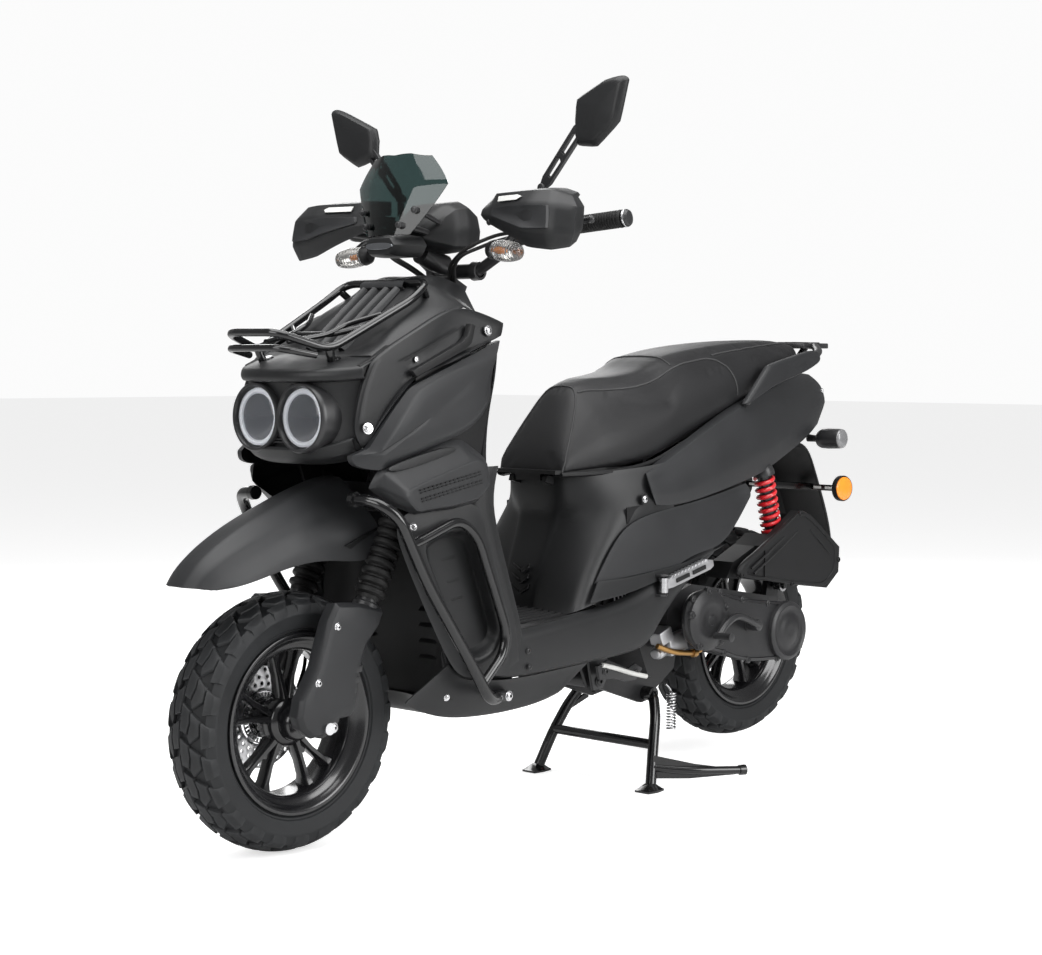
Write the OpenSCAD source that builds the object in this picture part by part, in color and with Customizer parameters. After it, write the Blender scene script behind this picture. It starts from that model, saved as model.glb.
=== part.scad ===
// Step-through moped scooter with 12 inch wheels, standing on its centre stand.
// Millimetres. +Z is up, the front faces -Y, the rider's left is +X, the ground is Z = 0.

/* [Wheels] */
// Distance between the two axles, seen from the side
wheelbase = 1343; // [1330:1:1350]
// Outer radius of both tyres
tyre_r = 238; // [232:1:238]
// Width of both tyres
tyre_w = 118; // [104:2:118]
// Height of the rear axle above its riding height, lifted by the centre stand
rear_lift = 45; // [40:1:45]

/* [Steering] */
// Angle of the steering axis from the vertical
rake = 26; // [26:1:26]
// Distance of the front axle ahead of the steering axis
fork_offset = 35; // [33:1:36]
// Distance of each fork leg from the middle
leg_x = 92; // [92:0.5:94]

/* [Handlebar] */
// Radius of the handlebar tube
bar_r = 11; // [10.5:0.1:11]
// Outer radius of both grips
grip_r = 17; // [16:0.5:17]

/* [Hidden] */
$fn = 48;

// Running clearance between a shaft and its hole
run = 0.05;
// Thickness of the moulded plastic covers
skin_t = 3;
// The wheels' middle lies this far from the middle of the whole length
axle_shift = -45.5;
front_y = -wheelbase / 2 + axle_shift;
rear_y = wheelbase / 2 + axle_shift;
rear_z = tyre_r + rear_lift;

// Foot of the steering axis, level with the axle along the axis
steer_y = front_y + fork_offset * cos(rake);
steer_z = tyre_r - fork_offset * sin(rake);
// The fork legs stand this far ahead of the steering axis
leg_y = -18;
fork_tube_r = 16;
axle_r = 6;

// Engine hanger, the pivot of the whole swing unit
hanger_y = 48;
hanger_z = 238;
// Pivot of the centre stand on the engine
stand_y = 233;
stand_z = 190;
// Ends of the rear shock absorbers
shock_x = 130;
shock_top = [566, 700];
shock_foot = [646, 395];
// Hinge of the seat
seat_hinge = [-50, 661];
// Kick starter shaft
kick_y = 450;
kick_z = 328;
// Left grip, inner and outer end
grip_in = [224, -231, 1150];
grip_out = [374, -195, 1165];

// ---- helpers ----

// Stands the children's Z axis along the line from p to q, starting at p
module aim(p, q) {
    v = q - p;
    translate(p) rotate([0, acos(v[2] / norm(v)), atan2(v[1], v[0])]) children();
}

// Round bar between two points
module rod(p, q, r) aim(p, q) cylinder(h = norm(q - p), r = r);

// Bent tube along a list of points: straight lengths meeting inside a ball just wide enough to hide the mitre
module tube(points, r) {
    last = len(points) - 1;
    for (i = [1 : last]) rod(points[i - 1], points[i], r);
    if (last > 1) for (i = [1 : last - 1]) {
        a = points[i] - points[i - 1];
        b = points[i + 1] - points[i];
        turn = acos(a * b / norm(a) / norm(b));
        aim(points[i], points[i + 1]) sphere(r * max(1.06, 1.02 / cos(turn / 2)));
    }
}

// The children and their mirror image on the right side
module both() {
    children();
    mirror([1, 0, 0]) children();
}

// Flat plate in the Y-Z plane from x to x + t
module plate_x(x, t, points) translate([x, 0, 0]) rotate([90, 0, 90]) linear_extrude(t) polygon(points);

// Flat plate in the X-Z plane from y to y + t
module plate_y(y, t, points) translate([0, y + t, 0]) rotate([90, 0, 0]) linear_extrude(t) polygon(points);

// Cylinder along X centred on x, y, z
module pin_x(x, y, z, r, h) translate([x, y, z]) rotate([0, 90, 0]) cylinder(h = h, r = r, center = true);

// Cylinder along Y from y to y + h
module pin_y(x, y, z, r, h) translate([x, y, z]) rotate([-90, 0, 0]) cylinder(h = h, r = r);

// Cylinder along Z between two heights
module post(z0, z1, r) translate([0, 0, z0]) cylinder(h = z1 - z0, r = r);

// Ring along X
module ring_x(x, y, z, r_out, r_in, h) difference() {
    pin_x(x, y, z, r_out, h);
    pin_x(x, y, z, r_in, h + 2);
}

// Curved sheet between two rows of points
module sheet(a, b, t = skin_t) {
    for (i = [1 : len(a) - 1])
        hull() for (p = [a[i - 1], a[i], b[i - 1], b[i]]) translate(p) cube(t, center = true);
}

// Frame of the fork: Z along the steering axis, -Y forwards
module at_fork() translate([0, steer_y, steer_z]) rotate([-rake, 0, 0]) children();

// Frame of the left grip: Z outwards along the bar, X down, Y backwards
module at_grip() aim(grip_in, grip_out) children();

// The row of points followed by its mirror image in reverse order
function looped(row) = concat(row, [for (i = [len(row) - 1 : -1 : 0]) [-row[i][0], row[i][1], row[i][2]]]);

// The row of points, each moved by d
function moved(row, d) = [for (p = row) p + d];

// ---- chassis ----

head_low = 485;
head_len = 180;
stem_r = 13;
bearing_r = 24;

module main_frame() color("black") difference() {
    union() {
        at_fork() translate([0, 0, head_low]) cylinder(h = head_len, r = 28);
        tube([[0, -425, 720], [0, -345, 560], [0, -305, 330], [0, -282, 300]], 19);
        rod([-95, -280, 300], [95, -280, 300], 15);
        both() {
            tube([[95, -280, 300], [95, 10, 300], [112, 110, 335], [116, 215, 560],
                  [116, 330, 690], [104, 715, 782]], 14);
            plate_x(79, 8, [[0, 300], [20, 305], [70, 250], [66, 224], [36, 222]]);
            plate_x(104, 10, [[530, 742], [590, 752], [581, 686], [551, 686]]);
            rod([108, shock_top[0], shock_top[1]], [146, shock_top[0], shock_top[1]], 7);
        }
        rod([-95, 10, 300], [95, 10, 300], 12);
        rod([-116, 330, 690], [116, 330, 690], 12);
        rod([-104, 708, 781], [104, 708, 781], 12);
        pin_x(0, hanger_y, hanger_z, 7, 190);
    }
    at_fork() translate([0, 0, head_low - 1]) cylinder(h = head_len + 2, r = bearing_r);
}

module steering_bearings() color("silver")
    for (z = [head_low, head_low + head_len - 15]) at_fork() translate([0, 0, z])
        difference() {
            cylinder(h = 15, r = bearing_r);
            translate([0, 0, -1]) cylinder(h = 17, r = stem_r + run);
        }

floor_row = [[186, -345, 380], [186, -288, 366], [188, -100, 381], [188, 92, 396]];
skirt_row = [[178, -372, 292], [180, -300, 294], [180, -100, 304], [176, 118, 318]];

module floorboard() color("dimgray") {
    middle = [[150, -264, 368], [150, -100, 381], [150, 40, 392]];
    sheet(middle, [for (p = middle) [-p[0], p[1], p[2]]]);
    both() {
        sheet(floor_row, skirt_row);
        sheet(floor_row, [[150, -345, 380], [150, -288, 366], [150, -100, 381], [150, 92, 396]]);
        sheet([[60, -335, 379], [60, -264, 368]], [[150, -345, 380], [150, -264, 368]]);
    }
    for (i = [-5 : 5]) translate([i * 26 - 4, -250, 366]) rotate([4.5, 0, 0]) cube([8, 230, 8]);
}

belly = [[-425, 262], [-150, 236], [-62, 286], [-62, 283], [-150, 232], [-428, 258]];

module lower_cover() color("dimgray") {
    plate_x(-150, 300, belly);
    both() plate_x(150, skin_t, [[-425, 262], [-350, 286], [-62, 290], [-62, 283], [-150, 232],
                                 [-428, 258]]);
}

shield_rear = [[186, -412, 700], [187, -385, 600], [192, -344, 455], [188, -350, 386]];
shield_front = [[150, -470, 690], [140, -455, 583], [132, -440, 455], [150, -410, 300]];

module leg_shield() color("dimgray") {
    both() {
        sheet(shield_rear, shield_front);
        sheet(shield_front, [[60, -372, 640], [70, -390, 560], [90, -405, 455],
                             [120, -412, 300]]);
    }
}

module inner_leg_cover() color("dimgray") {
    both() sheet([[176, -318, 925], [180, -345, 830], [186, -375, 700], [188, -352, 583],
                  [184, -322, 455], [182, -328, 388]],
                 [[0, -292, 925], [0, -290, 830], [0, -272, 700], [0, -262, 583],
                  [0, -256, 455], [0, -260, 388]]);
}

// Edge between the front cowl and the cheek panels, and the edge below the cheeks
top_edge = [[150, -652, 902], [142, -560, 945], [130, -470, 1000], [104, -395, 1014], [90, -318, 1000]];
cheek_edge = [[168, -676, 752], [180, -640, 800], [184, -584, 848], [190, -417, 923], [186, -330, 948]];
wing_edge = [[170, -640, 728], [186, -590, 740], [196, -530, 758], [196, -400, 790], [190, -360, 850]];

module front_cowl() color("dimgray") {
    recess = [[88, -640, 880], [84, -560, 890], [70, -480, 950], [62, -420, 1020], [62, -395, 1050]];
    both() {
        sheet(moved(top_edge, [-4, 0, 2]), recess);
        sheet([for (i = [0 : 3]) recess[i]], [for (i = [0 : 3]) [0, recess[i][1], recess[i][2] - 4]]);
        sheet([[62, -395, 1050], [62, -330, 1040]], [[62, -395, 1010], [62, -330, 1000]]);
    }
    sheet([[62, -420, 1020], [62, -395, 1056]], [[-62, -420, 1020], [-62, -395, 1056]]);
}

lamp_x = 62;
lamp_y = -718;
lamp_z = 793;
lamp_r = 64;

module headlight_mask() color("dimgray") {
    difference() {
        union() {
            both() {
                sheet([[0, -745, 872], [80, -725, 874], [148, -680, 878]],
                      [[0, -654, 878], [80, -654, 880], [143, -666, 882]]);
                sheet([[0, -722, 868], [80, -706, 868], [145, -670, 868]],
                      [[0, -705, 712], [80, -692, 716], [144, -664, 742]]);
            }
            both() pin_y(lamp_x, lamp_y, lamp_z, lamp_r + 3, 70);
        }
        both() pin_y(lamp_x, lamp_y - 10, lamp_z, lamp_r - 5, 72);
    }
}

module headlight_lenses() color("white") both() {
    difference() {
        pin_y(lamp_x, lamp_y, lamp_z, lamp_r - 5.5, 12);
        pin_y(lamp_x, lamp_y - 1, lamp_z, 40, 6);
    }
}

pod_face = [[-603, 662], [-574, 621], [-425, 633], [-390, 665], [-400, 706], [-520, 716]];

module front_side_panels() color("gray") both() {
    sheet(moved(top_edge, [2, 0, -6]), moved(cheek_edge, [0, 0, 4]));
    sheet(moved(cheek_edge, [2, 0, -4]), moved(wing_edge, [0, 0, 4]));
    plate_x(190, 12, pod_face);
}

rack_side = [[112, -467, 1028], [118, -506, 1009], [94, -690, 946]];

module front_rack() color("black") {
    tube(looped(concat(rack_side, [[66, -750, 948]])), 8);
    tube(looped([[90, -686, 938], [62, -744, 925]]), 6);
    both() {
        rod([94, -688, 944], [94, -680, 890], 7);
        rod([112, -467, 1028], [98, -452, 1022], 7);
    }
    tube(looped([[108, -462, 1028], [60, -456, 1042]]), 7);
    tube(looped([[104, -600, 976], [60, -612, 956]]), 6);
}

crash_r = 11;

module crash_bars() color("black") both() {
    tube([[138, -662, 648], [196, -655, 638], [212, -615, 600], [216, -560, 494], [216, -434, 313],
          [212, -396, 270], [170, -332, 262], [159, -328, 262]], crash_r);
    tube([[214, -588, 552], [210, -470, 608], [211, -420, 575], [209, -345, 390], [211, -392, 287]], 9);
}

// ---- rear bodywork ----

body_top = [[69, -25, 636], [118, 40, 655], [140, 110, 655]];
body_waist = [[58, -16, 578], [142, 26, 580], [160, 100, 578]];
body_low = [[40, -76, 410], [148, -96, 410], [186, 92, 410]];
belly_top = [[160, 108, 571], [176, 140, 580], [166, 440, 604], [160, 500, 604]];
belly_low = [[188, 100, 415], [190, 200, 400], [192, 300, 417], [168, 440, 525]];

module body_panels() color("dimgray") {
    both() {
        sheet(body_top, body_waist);
        sheet(body_waist, body_low);
        sheet(belly_top, belly_low);
    }
    sheet([[-69, -25, 636], [69, -25, 636]], [[-58, -16, 578], [58, -16, 578]]);
    sheet([[-58, -16, 578], [58, -16, 578]], [[-40, -76, 410], [40, -76, 410]]);
}

tail_low = [[176, 146, 590], [172, 463, 638], [132, 719, 704], [80, 857, 767]];
tail_mid = [[174, 120, 640], [170, 400, 712], [140, 700, 800], [84, 876, 828]];
tail_top = [[156, 208, 682], [152, 322, 736], [132, 640, 846], [88, 801, 872]];

module tail_covers() color("dimgray") both() {
    sheet(tail_low, tail_mid);
    sheet(tail_mid, tail_top);
}

module rear_lights() {
    color("red") sheet([[-60, 868, 812], [60, 868, 812]], [[-60, 858, 775], [60, 858, 775]], 8);
    color("gray") both() {
        pin_x(134, 838, 721, 21, 72);
        rod([68, 838, 721], [100, 838, 721], 7);
    }
    color("orange") both() translate([140, 875, 605]) rotate([0, 90, 0]) cylinder(h = 14, r = 29);
}

rack_top = 943;
rack_t = 10;

module rear_rack() color("black") difference() {
    union() {
        translate([-85, 800, rack_top - rack_t]) cube([170, 112, rack_t]);
        both() {
            tube([[152, 487, 812], [158, 585, 885], [150, 765, 922], [78, 838, 934]], 11);
            rod([50, 722, 792], [50, 850, 936], 8);
        }
    }
    for (x = [-65, 65]) for (y = [816, 896])
        translate([x, y, rack_top - 20]) cylinder(h = 30, r = 4.25);
    for (x = [-24, 0, 24]) translate([x - 5, 868, rack_top - 20]) cube([10, 32, 30]);
}

module storage_bucket() color("black") difference() {
    union() {
        translate([-90, 20, 470]) cube([180, 300, 165]);
        translate([-90, 20, 630]) cube([180, 350, 25]);
        both() plate_x(40, 12, [[20, 620], [20, 650], [seat_hinge[0] + 5, 664], [seat_hinge[0] - 5, 664],
                                [seat_hinge[0] - 9, 652], [-28, 644]]);
        pin_x(0, seat_hinge[0], seat_hinge[1], 4, 104);
    }
    translate([-87, 23, 473]) cube([174, 294, 200]);
}

module fuel_tank() color("dimgray") {
    hull() {
        translate([-92, 400, 660]) cube([184, 240, 60]);
        translate([-92, 440, 640]) cube([184, 180, 20]);
    }
    translate([0, 470, 718]) cylinder(h = 30, r = 28);
}

module rear_mudguard() color("black") {
    sheet([[-66, 838, 716], [66, 838, 716]], [[-66, 929, 534], [66, 929, 534]]);
    sheet([[-66, 929, 534], [66, 929, 534]], [[-50, 971, 404], [50, 971, 404]]);
    sheet([[-66, 700, 690], [66, 700, 690]], [[-66, 838, 716], [66, 838, 716]]);
    both() translate([60, 868, 600]) cube([80, 14, 10]);
    rod([0, 905, 605], [0, 868, 605], 5);
    translate([-64, 866, 600]) cube([128, 18, 10]);
    translate([-6, 880, 600]) cube([12, 26, 10]);
}

// ---- steering ----

module steering_stem() color("black") at_fork() {
    post(452, 925, stem_r);
    difference() {
        translate([-114, -44, 440]) cube([228, 64, 34]);
        both() translate([leg_x, leg_y, 439]) cylinder(h = 36, r = fork_tube_r);
    }
    both() translate([leg_x, leg_y, 110]) cylinder(h = 364, r = fork_tube_r);
    translate([-26, -20, 892]) cube([52, 40, 30]);
}

boot_low = 262;
boot_top = 438;

module fork_boots() color("black") at_fork() both() translate([leg_x, leg_y, boot_low])
    rotate_extrude() {
        ribs = 11;
        pitch = (boot_top - boot_low) / ribs;
        polygon(concat(
            [[fork_tube_r + 2, 0]],
            [for (i = [0 : ribs - 1]) each [[25, i * pitch], [30, (i + 0.5) * pitch]]],
            [[25, boot_top - boot_low], [fork_tube_r + 2, boot_top - boot_low]]));
    }

fender_mid = [[0, -967, 507], [0, -906, 566], [0, -794, 622], [0, -657, 673], [0, -600, 660]];
fender_side = [[20, -960, 500], [62, -900, 500], [78, -780, 530], [84, -660, 560], [84, -610, 590]];

module front_fender() color("dimgray") {
    both() sheet(fender_mid, fender_side);
    both() sheet([[30, -600, 655], [60, -604, 640]], [[30, -536, 662], [60, -536, 652]]);
}

bar_line = looped([grip_out, grip_in, [150, -250, 1128], [60, -268, 1072]]);

module handlebar() color("black") tube(bar_line, bar_r);

module hand_guards() color("dimgray") both() {
    outer = [[180, -352, 1128], [260, -372, 1108], [345, -378, 1108], [392, -330, 1120]];
    upper = [[182, -350, 1185], [260, -366, 1205], [345, -370, 1210], [392, -325, 1205]];
    back = [[184, -300, 1200], [262, -300, 1216], [345, -300, 1218], [390, -285, 1208]];
    sheet(outer, upper);
    sheet(upper, back);
    rod([384, -290, 1205], [384, -215, 1170], 6);
}

module windscreen() color("darkslategray", 0.6) {
    low = [[-82, -446, 1133.5], [-48, -470, 1133.5], [48, -470, 1133.5], [82, -446, 1133.5]];
    mid = [[-118, -420, 1215], [-62, -455, 1215], [62, -455, 1215], [118, -420, 1215]];
    top = [[-84, -408, 1270], [-50, -432, 1291], [50, -432, 1291], [84, -408, 1270]];
    sheet(low, mid);
    sheet(mid, top);
}

module meter_pod() color("dimgray") {
    hull() {
        translate([-66, -372, 1112]) cube([132, 60, 20]);
        translate([-74, -330, 1170]) cube([148, 60, 20]);
        translate([-60, -290, 1110]) cube([120, 20, 20]);
    }
    hull() {
        translate([-50, -472, 1096]) cube([100, 77, 36]);
        translate([-60, -372, 1100]) cube([120, 20, 32]);
    }
    difference() {
        rod([0, -300, 1100], [0, -278, 1112], 20);
        rod([-60, -268, 1072], [60, -268, 1072], bar_r + 3);
        at_fork() post(850, 930, 30);
    }
}

module switch_housings() color("black") {
    difference() {
        both() at_grip() translate([-20, -19, -46]) cube([38, 38, 42]);
        tube(bar_line, bar_r);
        both() at_grip() translate([-22, -10, -30]) cube([9, 12, 16]);
        at_grip() translate([-6, 12, -32]) cube([12, 8, 12]);
    }
    both() difference() {
        at_grip() translate([-8, -50, -26]) cube([16, 31, 22]);
        at_grip() translate([-5, -52, -27]) cube([10, 26, 24]);
    }
    both() at_grip() translate([-8, -42, -14]) rotate([0, 90, 0]) cylinder(h = 16, r = 3);
    mirror([1, 0, 0]) at_grip() translate([-42, -58, -46]) cube([22, 40, 60]);
}

grip_from = 8;
grip_len = 140;

// Rubber grip, bored to slide over the bar
module grip() at_grip() difference() {
    post(grip_from, grip_from + grip_len, grip_r);
    post(grip_from - 1, grip_from + grip_len + 1, bar_r + run);
}

module left_grip() color("black") grip();
module throttle_grip() color("black") mirror([1, 0, 0]) grip();

// Brake lever in the frame of the left grip
module lever() at_grip() difference() {
    union() {
        translate([-4.5, -49, -22]) cube([9, 12, 20]);
        rod([0, -43, -6], [0, -54, 110], 5);
        translate([0, -54, 110]) sphere(8);
    }
    translate([-8, -42, -14]) rotate([0, 90, 0]) cylinder(h = 16, r = 3 + run);
}

module rear_brake_lever() color("silver") lever();
module front_brake_lever() color("silver") mirror([1, 0, 0]) lever();

mirror_foot = [196, -232, 1172];

module left_mirror() color("black") {
    rod(mirror_foot - [0, 0, 3], mirror_foot + [0, 0, 54], 5);
    difference() {
        sheet([[178, -234, 1230], [262, -234, 1352]], [[206, -234, 1222], [300, -234, 1336]], 9);
        aim([212, -234, 1258], [256, -234, 1315]) translate([-4, -10, 0]) cube([9, 20, 26]);
        aim([234, -234, 1287], [270, -234, 1334]) translate([-4, -10, 4]) cube([9, 20, 26]);
    }
    hull() {
        plate_y(-236, 10, [[276, 1344], [284, 1301], [327, 1296], [385, 1342], [404, 1419], [392, 1426],
                           [358, 1418], [279, 1386]]);
        plate_y(-244, 3, [[298, 1340], [300, 1312], [326, 1310], [372, 1344], [388, 1404], [380, 1408],
                          [356, 1402], [300, 1376]]);
    }
    translate([290, -236, 1340]) sphere(11);
}

module right_mirror() mirror([1, 0, 0]) left_mirror();

module front_signals() color("gray") both() {
    translate([212, -348, 1100]) signal_lamp();
    rod([205, -335, 1112], [196, -262, 1134], 5);
}

// Rounded lamp body of a front turn signal
module signal_lamp() hull() {
    translate([-28, 0, 0]) sphere(18, $fn = 24);
    translate([28, 0, 0]) sphere(18, $fn = 24);
}

module starter_button() color("red") mirror([1, 0, 0]) at_grip() translate([-21, -8, -27]) cube([4, 8, 10]);
module horn_button() color("black") at_grip() translate([-21, -8, -27]) cube([4, 8, 10]);
module signal_switch() color("gray") at_grip() translate([-3, 13, -29]) cube([6, 9, 6]);

key_p = [70, -280, 880];

module ignition_key() color("silver") {
    translate(key_p) rotate([-90, 0, 0]) cylinder(h = 10, r = 5);
    translate(key_p + [-10, 8, -3]) cube([20, 16, 6]);
}

// ---- fork, front wheel and brake ----

module fork_sliders() color("black") {
    at_fork() both() difference() {
        union() {
            translate([leg_x, leg_y, 14]) cylinder(h = 240, r = 21);
            translate([leg_x, leg_y, 225]) cylinder(h = 29, r = 25);
            pin_x(leg_x, -fork_offset, 0, 19, 40);
            translate([leg_x - 18, -48, -4]) cube([36, 44, 34]);
            plate_x(leg_x + 18, 10, [[-52, -14], [-6, -16], [22, 246], [-58, 258], [-62, 120]]);
        }
        translate([leg_x, leg_y, 30]) cylinder(h = 240, r = fork_tube_r + run);
        pin_x(leg_x, -fork_offset, 0, axle_r + run, 70);
    }
}

module front_axle() color("silver") {
    pin_x(0, front_y, tyre_r, axle_r, 2 * leg_x + 56);
    both() pin_x(leg_x + 28 + 5, front_y, tyre_r, 11, 10);
    ring_x(61, front_y, tyre_r, 12, axle_r, 22);
    ring_x(-68, front_y, tyre_r, 12, axle_r, 8);
}

disc_x = -60;
disc_r = 95;

module brake_caliper() color("gray") at_fork() difference() {
    union() {
        translate([disc_x - 24, 6, 28]) cube([40, 52, 50]);
        translate([disc_x - 26, -10, 40]) cube([8, 30, 26]);
    }
    translate([disc_x - 4, 0, 20]) cube([8, 90, 90]);
    translate([-leg_x, leg_y, 14]) cylinder(h = 240, r = 21);
}

// Wheel parts stand on their own axle line at X = 0
module tyre() rotate([0, 90, 0]) rotate_extrude($fn = 96) difference() {
    h = tyre_w / 2;
    polygon([[158, -46], [167, -46], [172, -54], [tyre_r - 30, -h], [tyre_r - 9, -h + 6],
             [tyre_r, -h + 22], [tyre_r, h - 22], [tyre_r - 9, h - 6], [tyre_r - 30, h], [172, 54],
             [167, 46], [158, 46]]);
    polygon([[150, -38], [164, -38], [170, -46], [tyre_r - 30, -h + 8], [tyre_r - 14, -h + 22],
             [tyre_r - 14, h - 22], [tyre_r - 30, h - 8], [170, 46], [164, 38], [150, 38]]);
}

module rim(bore, hub_right, hub_left) difference() {
    union() {
        rotate([0, 90, 0]) rotate_extrude($fn = 96)
            polygon([[166, -52], [166, -47], [157.5, -46], [157.5, -38], [140, -30], [140, 30], [157.5, 38],
                     [157.5, 46], [166, 47], [166, 52], [154, 52], [150, 42], [134, 34], [134, -34],
                     [150, -42], [154, -52]]);
        translate([-hub_right, 0, 0]) rotate([0, 90, 0]) cylinder(h = hub_right + hub_left, r = 34);
        for (a = [0 : 72 : 359]) rotate([a, 0, 0]) for (s = [-1, 1])
            rotate([s * 11, 0, 0]) translate([-9, -6, 30]) cube([18, 12, 108]);
    }
    rotate([0, 90, 0]) cylinder(h = 300, r = bore, center = true);
}

module at_front_axle() translate([0, front_y, tyre_r]) children();
module at_rear_axle() translate([0, rear_y, rear_z]) children();

module front_tyre() color("dimgray") at_front_axle() tyre();
module front_rim() color("black") at_front_axle() rim(axle_r + run, 58, 49);

module front_disc() color("silver") at_front_axle() translate([disc_x, 0, 0]) rotate([0, 90, 0])
    difference() {
        cylinder(h = 4, r = disc_r, center = true);
        cylinder(h = 6, r = 22, center = true);
        for (i = [0 : 17]) rotate([0, 0, i * 20]) translate([i % 2 == 0 ? 84 : 72, 0, -3])
            cylinder(h = 6, r = 4);
    }

module rear_tyre() color("dimgray") at_rear_axle() tyre();

module rear_rim() color("black") {
    at_rear_axle() rim(12, 40, 40);
    pin_x(-2, rear_y, rear_z, 12, 172);
}

// ---- swing unit ----

module engine_case() color("silver") difference() {
    union() {
        // hanger arms and hanger tube
        both() plate_x(62, 14, [[38, 226], [38, 250], [60, 252], [260, 222], [262, 176], [222, 170],
                                [60, 224]]);
        pin_x(0, hanger_y, hanger_z, 16, 152);
        // crankcase, cylinder and head
        pin_x(12, 290, 350, 70, 164);
        plate_x(-58, 120, [[262, 176], [262, 222], [225, 300], [232, 400], [330, 420], [372, 330],
                           [350, 230]]);
        cylinder_barrel();
        // belt case behind the wheel, seen from the left
        plate_x(92, 34, [[240, 296], [250, 400], [330, 420], [640, 368], [660, 250], [480, 246], [330, 282]]);
        // gearbox around the axle
        pin_x(83, rear_y, rear_z, 42, 20);
        // stand lugs
        both() pin_x(66, stand_y, stand_z, 14, 24);
        // shock foot lugs
        plate_x(98, 14, [[612, 340], [626, 406], [664, 406], [664, 340]]);
        rod([105, shock_foot[0], shock_foot[1]], [146, shock_foot[0], shock_foot[1]], 7);
        // right swing arm
        plate_x(-104, 18, [[330, 330], [330, 370], [618, 378], [628, 408], [664, 408], [666, 270],
                           [600, 262], [350, 300]]);
        rod([-100, shock_foot[0], shock_foot[1]], [-146, shock_foot[0], shock_foot[1]], 7);
        rod([-90, 340, 340], [-50, 340, 340], 24);
    }
    pin_x(0, hanger_y, hanger_z, 7 + run, 300);
    pin_x(0, stand_y, stand_z, 6 + run, 300);
    pin_x(-2, rear_y, rear_z, 12 + run, 176);
}

// Cylinder barrel leaning forwards, almost level
module cylinder_barrel() {
    rod([0, 270, 352], [0, 130, 385], 46);
    for (i = [0 : 5]) rod([0, 225 - i * 14, 362 + i * 3.3], [0, 221 - i * 14, 363 + i * 3.3], 56);
    rod([0, 134, 384], [0, 96, 393], 42);
}

module cvt_cover() color("dimgray") difference() {
    union() {
        pin_x(155, 290, 350, 62, 58);
        plate_x(127, 56, [[250, 300], [262, 400], [330, 414], [600, 364], [640, 340], [650, 268],
                          [600, 240], [479, 250], [340, 286]]);
        pin_x(161, 589, 301, 64, 70);
    }
    pin_x(185, kick_y, kick_z, 9 + run, 60);
}

airbox_side = [[414, 428], [440, 462], [517, 493], [647, 566], [691, 554], [806, 475], [803, 418],
               [756, 384], [700, 392], [520, 420]];

// The shock absorber passes between the belt case and the outer shell of the airbox
module airbox() color("dimgray") difference() {
    plate_x(97, 85, airbox_side);
    translate([90, 560, 300]) cube([68, 132, 400]);
    translate([154, 400, 300]) cube([40, 118, 400]);
}

module exhaust() color("gray") {
    tube([[0, 116, 330], [-22, 128, 292], [-92, 200, 262], [-150, 300, 250], [-188, 402, 262]], 13);
    rod([-188, 390, 262], [-188, 760, 322], 40);
}

module kick_lever() color("black") {
    pin_x(193, kick_y, kick_z, 9, 54);
    tube([[212, kick_y, kick_z], [214, 380, 358], [216, 305, 318]], 8);
    rod([212, 305, 318], [252, 305, 318], 8);
}

// ---- rear shocks ----

module at_shock() aim([shock_x, shock_top[0], shock_top[1]], [shock_x, shock_foot[0], shock_foot[1]])
    children();
shock_len = norm(shock_foot - shock_top);

module shock_bodies() color("black") both() at_shock() difference() {
    union() {
        rotate([90, 0, 0]) cylinder(h = 20, r = 14, center = true);
        post(12, 188, 15);
        post(46, 54, 24);
    }
    rotate([90, 0, 0]) cylinder(h = 24, r = 7 + run, center = true);
    post(80, 189, 6 + run);
}

module shock_rods() color("silver") both() at_shock() difference() {
    union() {
        post(165, shock_len - 10, 6);
        post(shock_len - 32, shock_len - 24, 24);
        translate([0, 0, shock_len]) rotate([90, 0, 0]) cylinder(h = 20, r = 14, center = true);
    }
    translate([0, 0, shock_len]) rotate([90, 0, 0]) cylinder(h = 24, r = 9, center = true);
}

spring_low = 55;
spring_high = shock_len - 33;

module shock_springs() color("red") both() at_shock() for (i = [0 : 8])
    translate([0, 0, spring_low + 5 + i * (spring_high - spring_low - 10) / 8]) rotate_extrude()
        translate([19.5, 0]) circle(4, $fn = 24);

// ---- centre stand ----

module centre_stand() color("black") {
    difference() {
        union() {
            both() {
                pin_x(89, stand_y, stand_z, 14, 20);
                tube([[92, stand_y, stand_z], [118, 226, 178], [140, 186, 90], [160, 153, 16]], 12);
                hull() {
                    translate([144, 126, 0]) cube([34, 50, 5]);
                    translate([152, 140, 14]) cube([18, 24, 4]);
                }
            }
            rod([-140, 186, 90], [140, 186, 90], 11);
            tube([[152, 172, 60], [212, 240, 40], [262, 330, 34]], 9);
        }
        pin_x(0, stand_y, stand_z, 6, 400);
    }
    pin_x(0, stand_y, stand_z, 6, 196);
}

module stand_spring() color("silver") for (i = [0 : 9])
    translate([126, 262, 116 + i * 8.4]) rotate_extrude() translate([9, 0]) circle(2, $fn = 16);

// ---- footpegs ----

peg_y = 136;
peg_z = 438;

module left_footpeg() color("silver") {
    aim([204, peg_y, peg_z], [204, peg_y + 161, peg_z + 37]) {
        translate([-9, -7, 14]) cube([18, 14, 150]);
        for (i = [0 : 9]) translate([-12, -7, 22 + i * 14]) cube([4, 14, 6]);
    }
    translate([204, peg_y, peg_z]) cylinder(h = 26, r = 9, center = true);
}

module right_footpeg() mirror([1, 0, 0]) left_footpeg();

// ---- seat ----

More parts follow.
